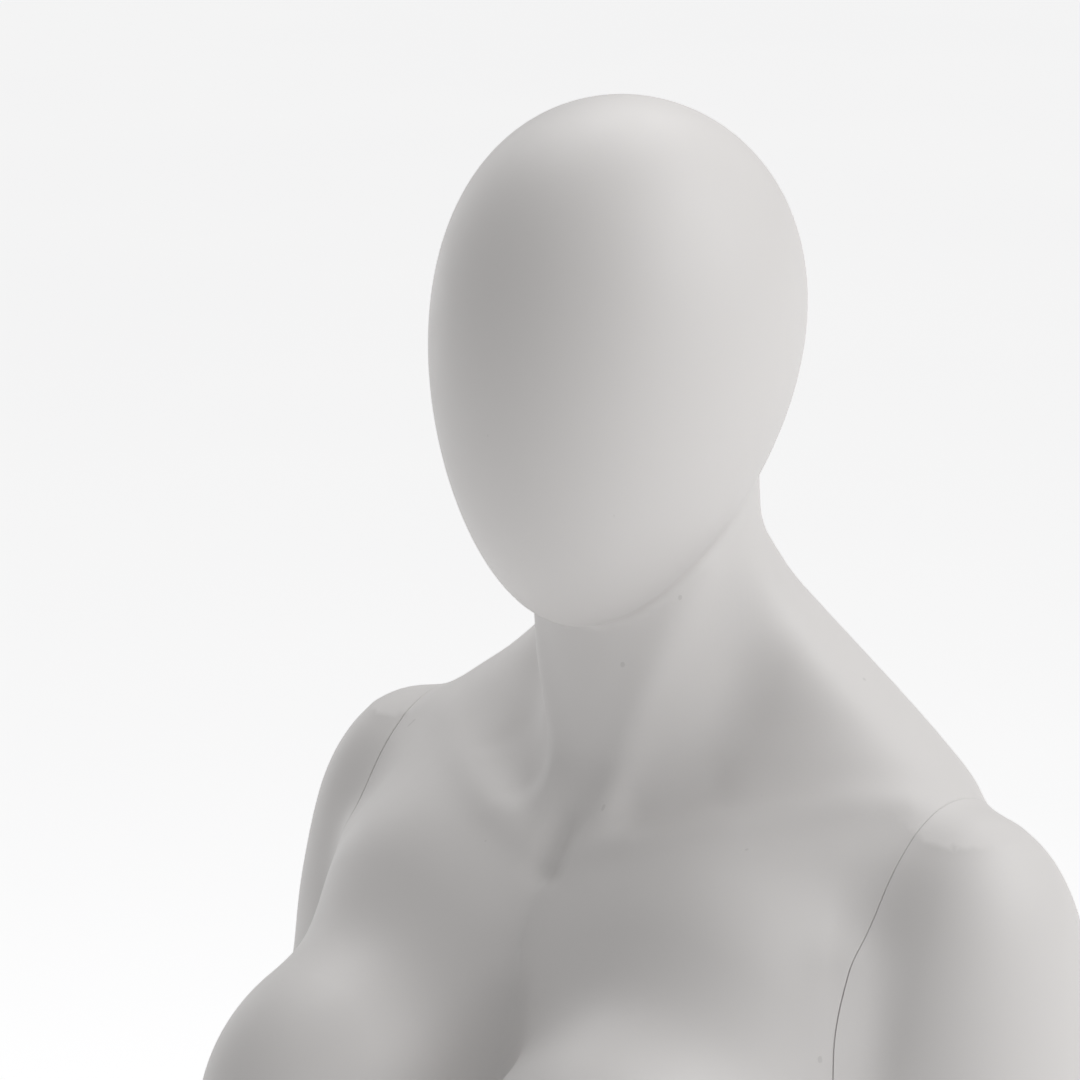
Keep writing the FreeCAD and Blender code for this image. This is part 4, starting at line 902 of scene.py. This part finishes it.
FINISHES = {
    "shell_lacquer": lacquer(),
    "panel_board": fibreboard(),
    "fitting_steel": metal("fitting_steel", (0.56, 0.565, 0.575), 0.28, 0.42, (1, 1, 9)),
    "bush_nylon": moulded("bush_nylon", (0.022, 0.022, 0.024), 0.46, 1400),
    "screw_zinc": metal("screw_zinc", (0.62, 0.61, 0.56), 0.25, 0.4, (2, 2, 2)),
    "magnet_nickel": metal("magnet_nickel", (0.66, 0.63, 0.59), 0.12, 0.22, (2, 2, 2), 0.00001),
    "base_steel": metal("base_steel", (0.74, 0.74, 0.745), 0.30, 0.44, (0.35, 14, 1)),
    "rod_chrome": metal("rod_chrome", (0.70, 0.70, 0.71), 0.07, 0.14, (1, 1, 0.4), 0.000006),
    "pad_rubber": moulded("pad_rubber", (0.03, 0.03, 0.03), 0.8, 700),
}


def meshes_of(item):
    return [part for part in [item, *item.children_recursive] if part.type == "MESH"]


slots = {part["node"]: part["material_slot"] for part in frame["record"]["subparts"]}
for name, item in frame["nodes"].items():
    finish = FINISHES[slots[name]]
    for mesh in meshes_of(item):
        if not mesh.material_slots:
            mesh.data.materials.append(finish)
        for place in mesh.material_slots:
            place.material = finish

for name, (body, nodes) in RIDES.items():
    piece = PIECES[name]
    piece.data.materials.append(FINISHES["shell_lacquer"])
    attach(piece, body)
    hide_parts(*nodes)

# ---------------------------------------------------------------- camera, at the viewing angle
AZIMUTH, ELEVATION, DISTANCE = 42, 13, 2.3
LENS, SENSOR, FAR = 174.8, 36.0, 200.0
HEAD_RIGHT, HEAD_UP = 0.0311, 0.0781     # the middle of the head, from the point aimed at


def bearing(azimuth, elevation):
    """The way from the figure to a camera or lamp: azimuth 0 is in front of it, 90 at its left."""
    azimuth, elevation = math.radians(azimuth), math.radians(elevation)
    return Vector((math.sin(azimuth) * math.cos(elevation), -math.cos(azimuth) * math.cos(elevation),
                   math.sin(elevation)))


back = bearing(AZIMUTH, ELEVATION)
right = Vector((math.cos(math.radians(AZIMUTH)), math.sin(math.radians(AZIMUTH)), 0))
up = back.cross(right)
target = Vector(HEAD_CENTRE) / 1000 - right * HEAD_RIGHT - up * HEAD_UP
camera = bpy.data.objects.new("camera", bpy.data.cameras.new("camera"))
camera.data.lens = LENS
camera.data.sensor_width = SENSOR
camera.data.clip_end = FAR
camera.matrix_world = Matrix((right, up, back)).transposed().to_4x4()
camera.location = target + back * DISTANCE
bpy.context.scene.collection.objects.link(camera)
bpy.context.scene.camera = camera

# ---------------------------------------------------------------- floor and light
FLOOR_REACH, FLOOR_GLOW = 60.0, 0.66
SKY, SKY_LIGHT = (0.93, 0.93, 0.935, 1), 0.30

floor_mesh = bpy.data.meshes.new("floor")
corners = [(-1, -1), (1, -1), (1, 1), (-1, 1)]
floor_mesh.from_pydata([(x * FLOOR_REACH, y * FLOOR_REACH, 0) for x, y in corners], [], [(0, 1, 2, 3)])
floor = bpy.data.objects.new("floor", floor_mesh)
bpy.context.scene.collection.objects.link(floor)
ground = Finish("floor_paper", (0.86, 0.86, 0.86), 0.85)
ground.tint(ground.spread(ground.noise(0.6, 2), 0.4, 0.6, 0.0, 1.0), (0.84, 0.84, 0.845))
ground.shader.inputs["Emission Color"].default_value = (1, 1, 1, 1)
ground.shader.inputs["Emission Strength"].default_value = FLOOR_GLOW
floor_mesh.materials.append(ground.material)


def studio():
    """A bright backdrop to the eye that lights the figure only faintly."""
    world = bpy.data.worlds.new("studio")
    world.use_nodes = True
    nodes, links = world.node_tree.nodes, world.node_tree.links
    faint = nodes["Background"]
    faint.inputs["Color"].default_value = SKY
    faint.inputs["Strength"].default_value = SKY_LIGHT
    bright = nodes.new("ShaderNodeBackground")
    bright.inputs["Color"].default_value = SKY
    choice = nodes.new("ShaderNodeMixShader")
    links.new(nodes.new("ShaderNodeLightPath").outputs["Is Camera Ray"], choice.inputs["Fac"])
    links.new(faint.outputs["Background"], choice.inputs[1])
    links.new(bright.outputs["Background"], choice.inputs[2])
    links.new(choice.outputs["Shader"], nodes["World Output"].inputs["Surface"])
    return world


bpy.context.scene.world = studio()


CHEST = Vector((0, 0, 1.4))


def softbox(name, direction, distance, width, height, power):
    """A large soft light aimed at the chest, out of the camera's sight."""
    toward = bearing(*direction)
    lamp = bpy.data.lights.new(name, "AREA")
    lamp.shape = "RECTANGLE"
    lamp.size = width
    lamp.size_y = height
    lamp.energy = power
    item = bpy.data.objects.new(name, lamp)
    item.location = CHEST + toward * distance
    item.rotation_euler = toward.to_track_quat("Z", "Y").to_euler()
    item.visible_camera = False
    bpy.context.scene.collection.objects.link(item)


softbox("right_softbox", (112, 40), 2.8, 2.6, 2.4, 54)
softbox("left_softbox", (-104, 20), 2.8, 1.4, 2.4, 9)
softbox("top_softbox", (230, 66), 2.6, 2.6, 2.0, 38)

view = bpy.context.scene.view_settings
view.view_transform = "Standard"
view.look = "None"
view.exposure = 0.0
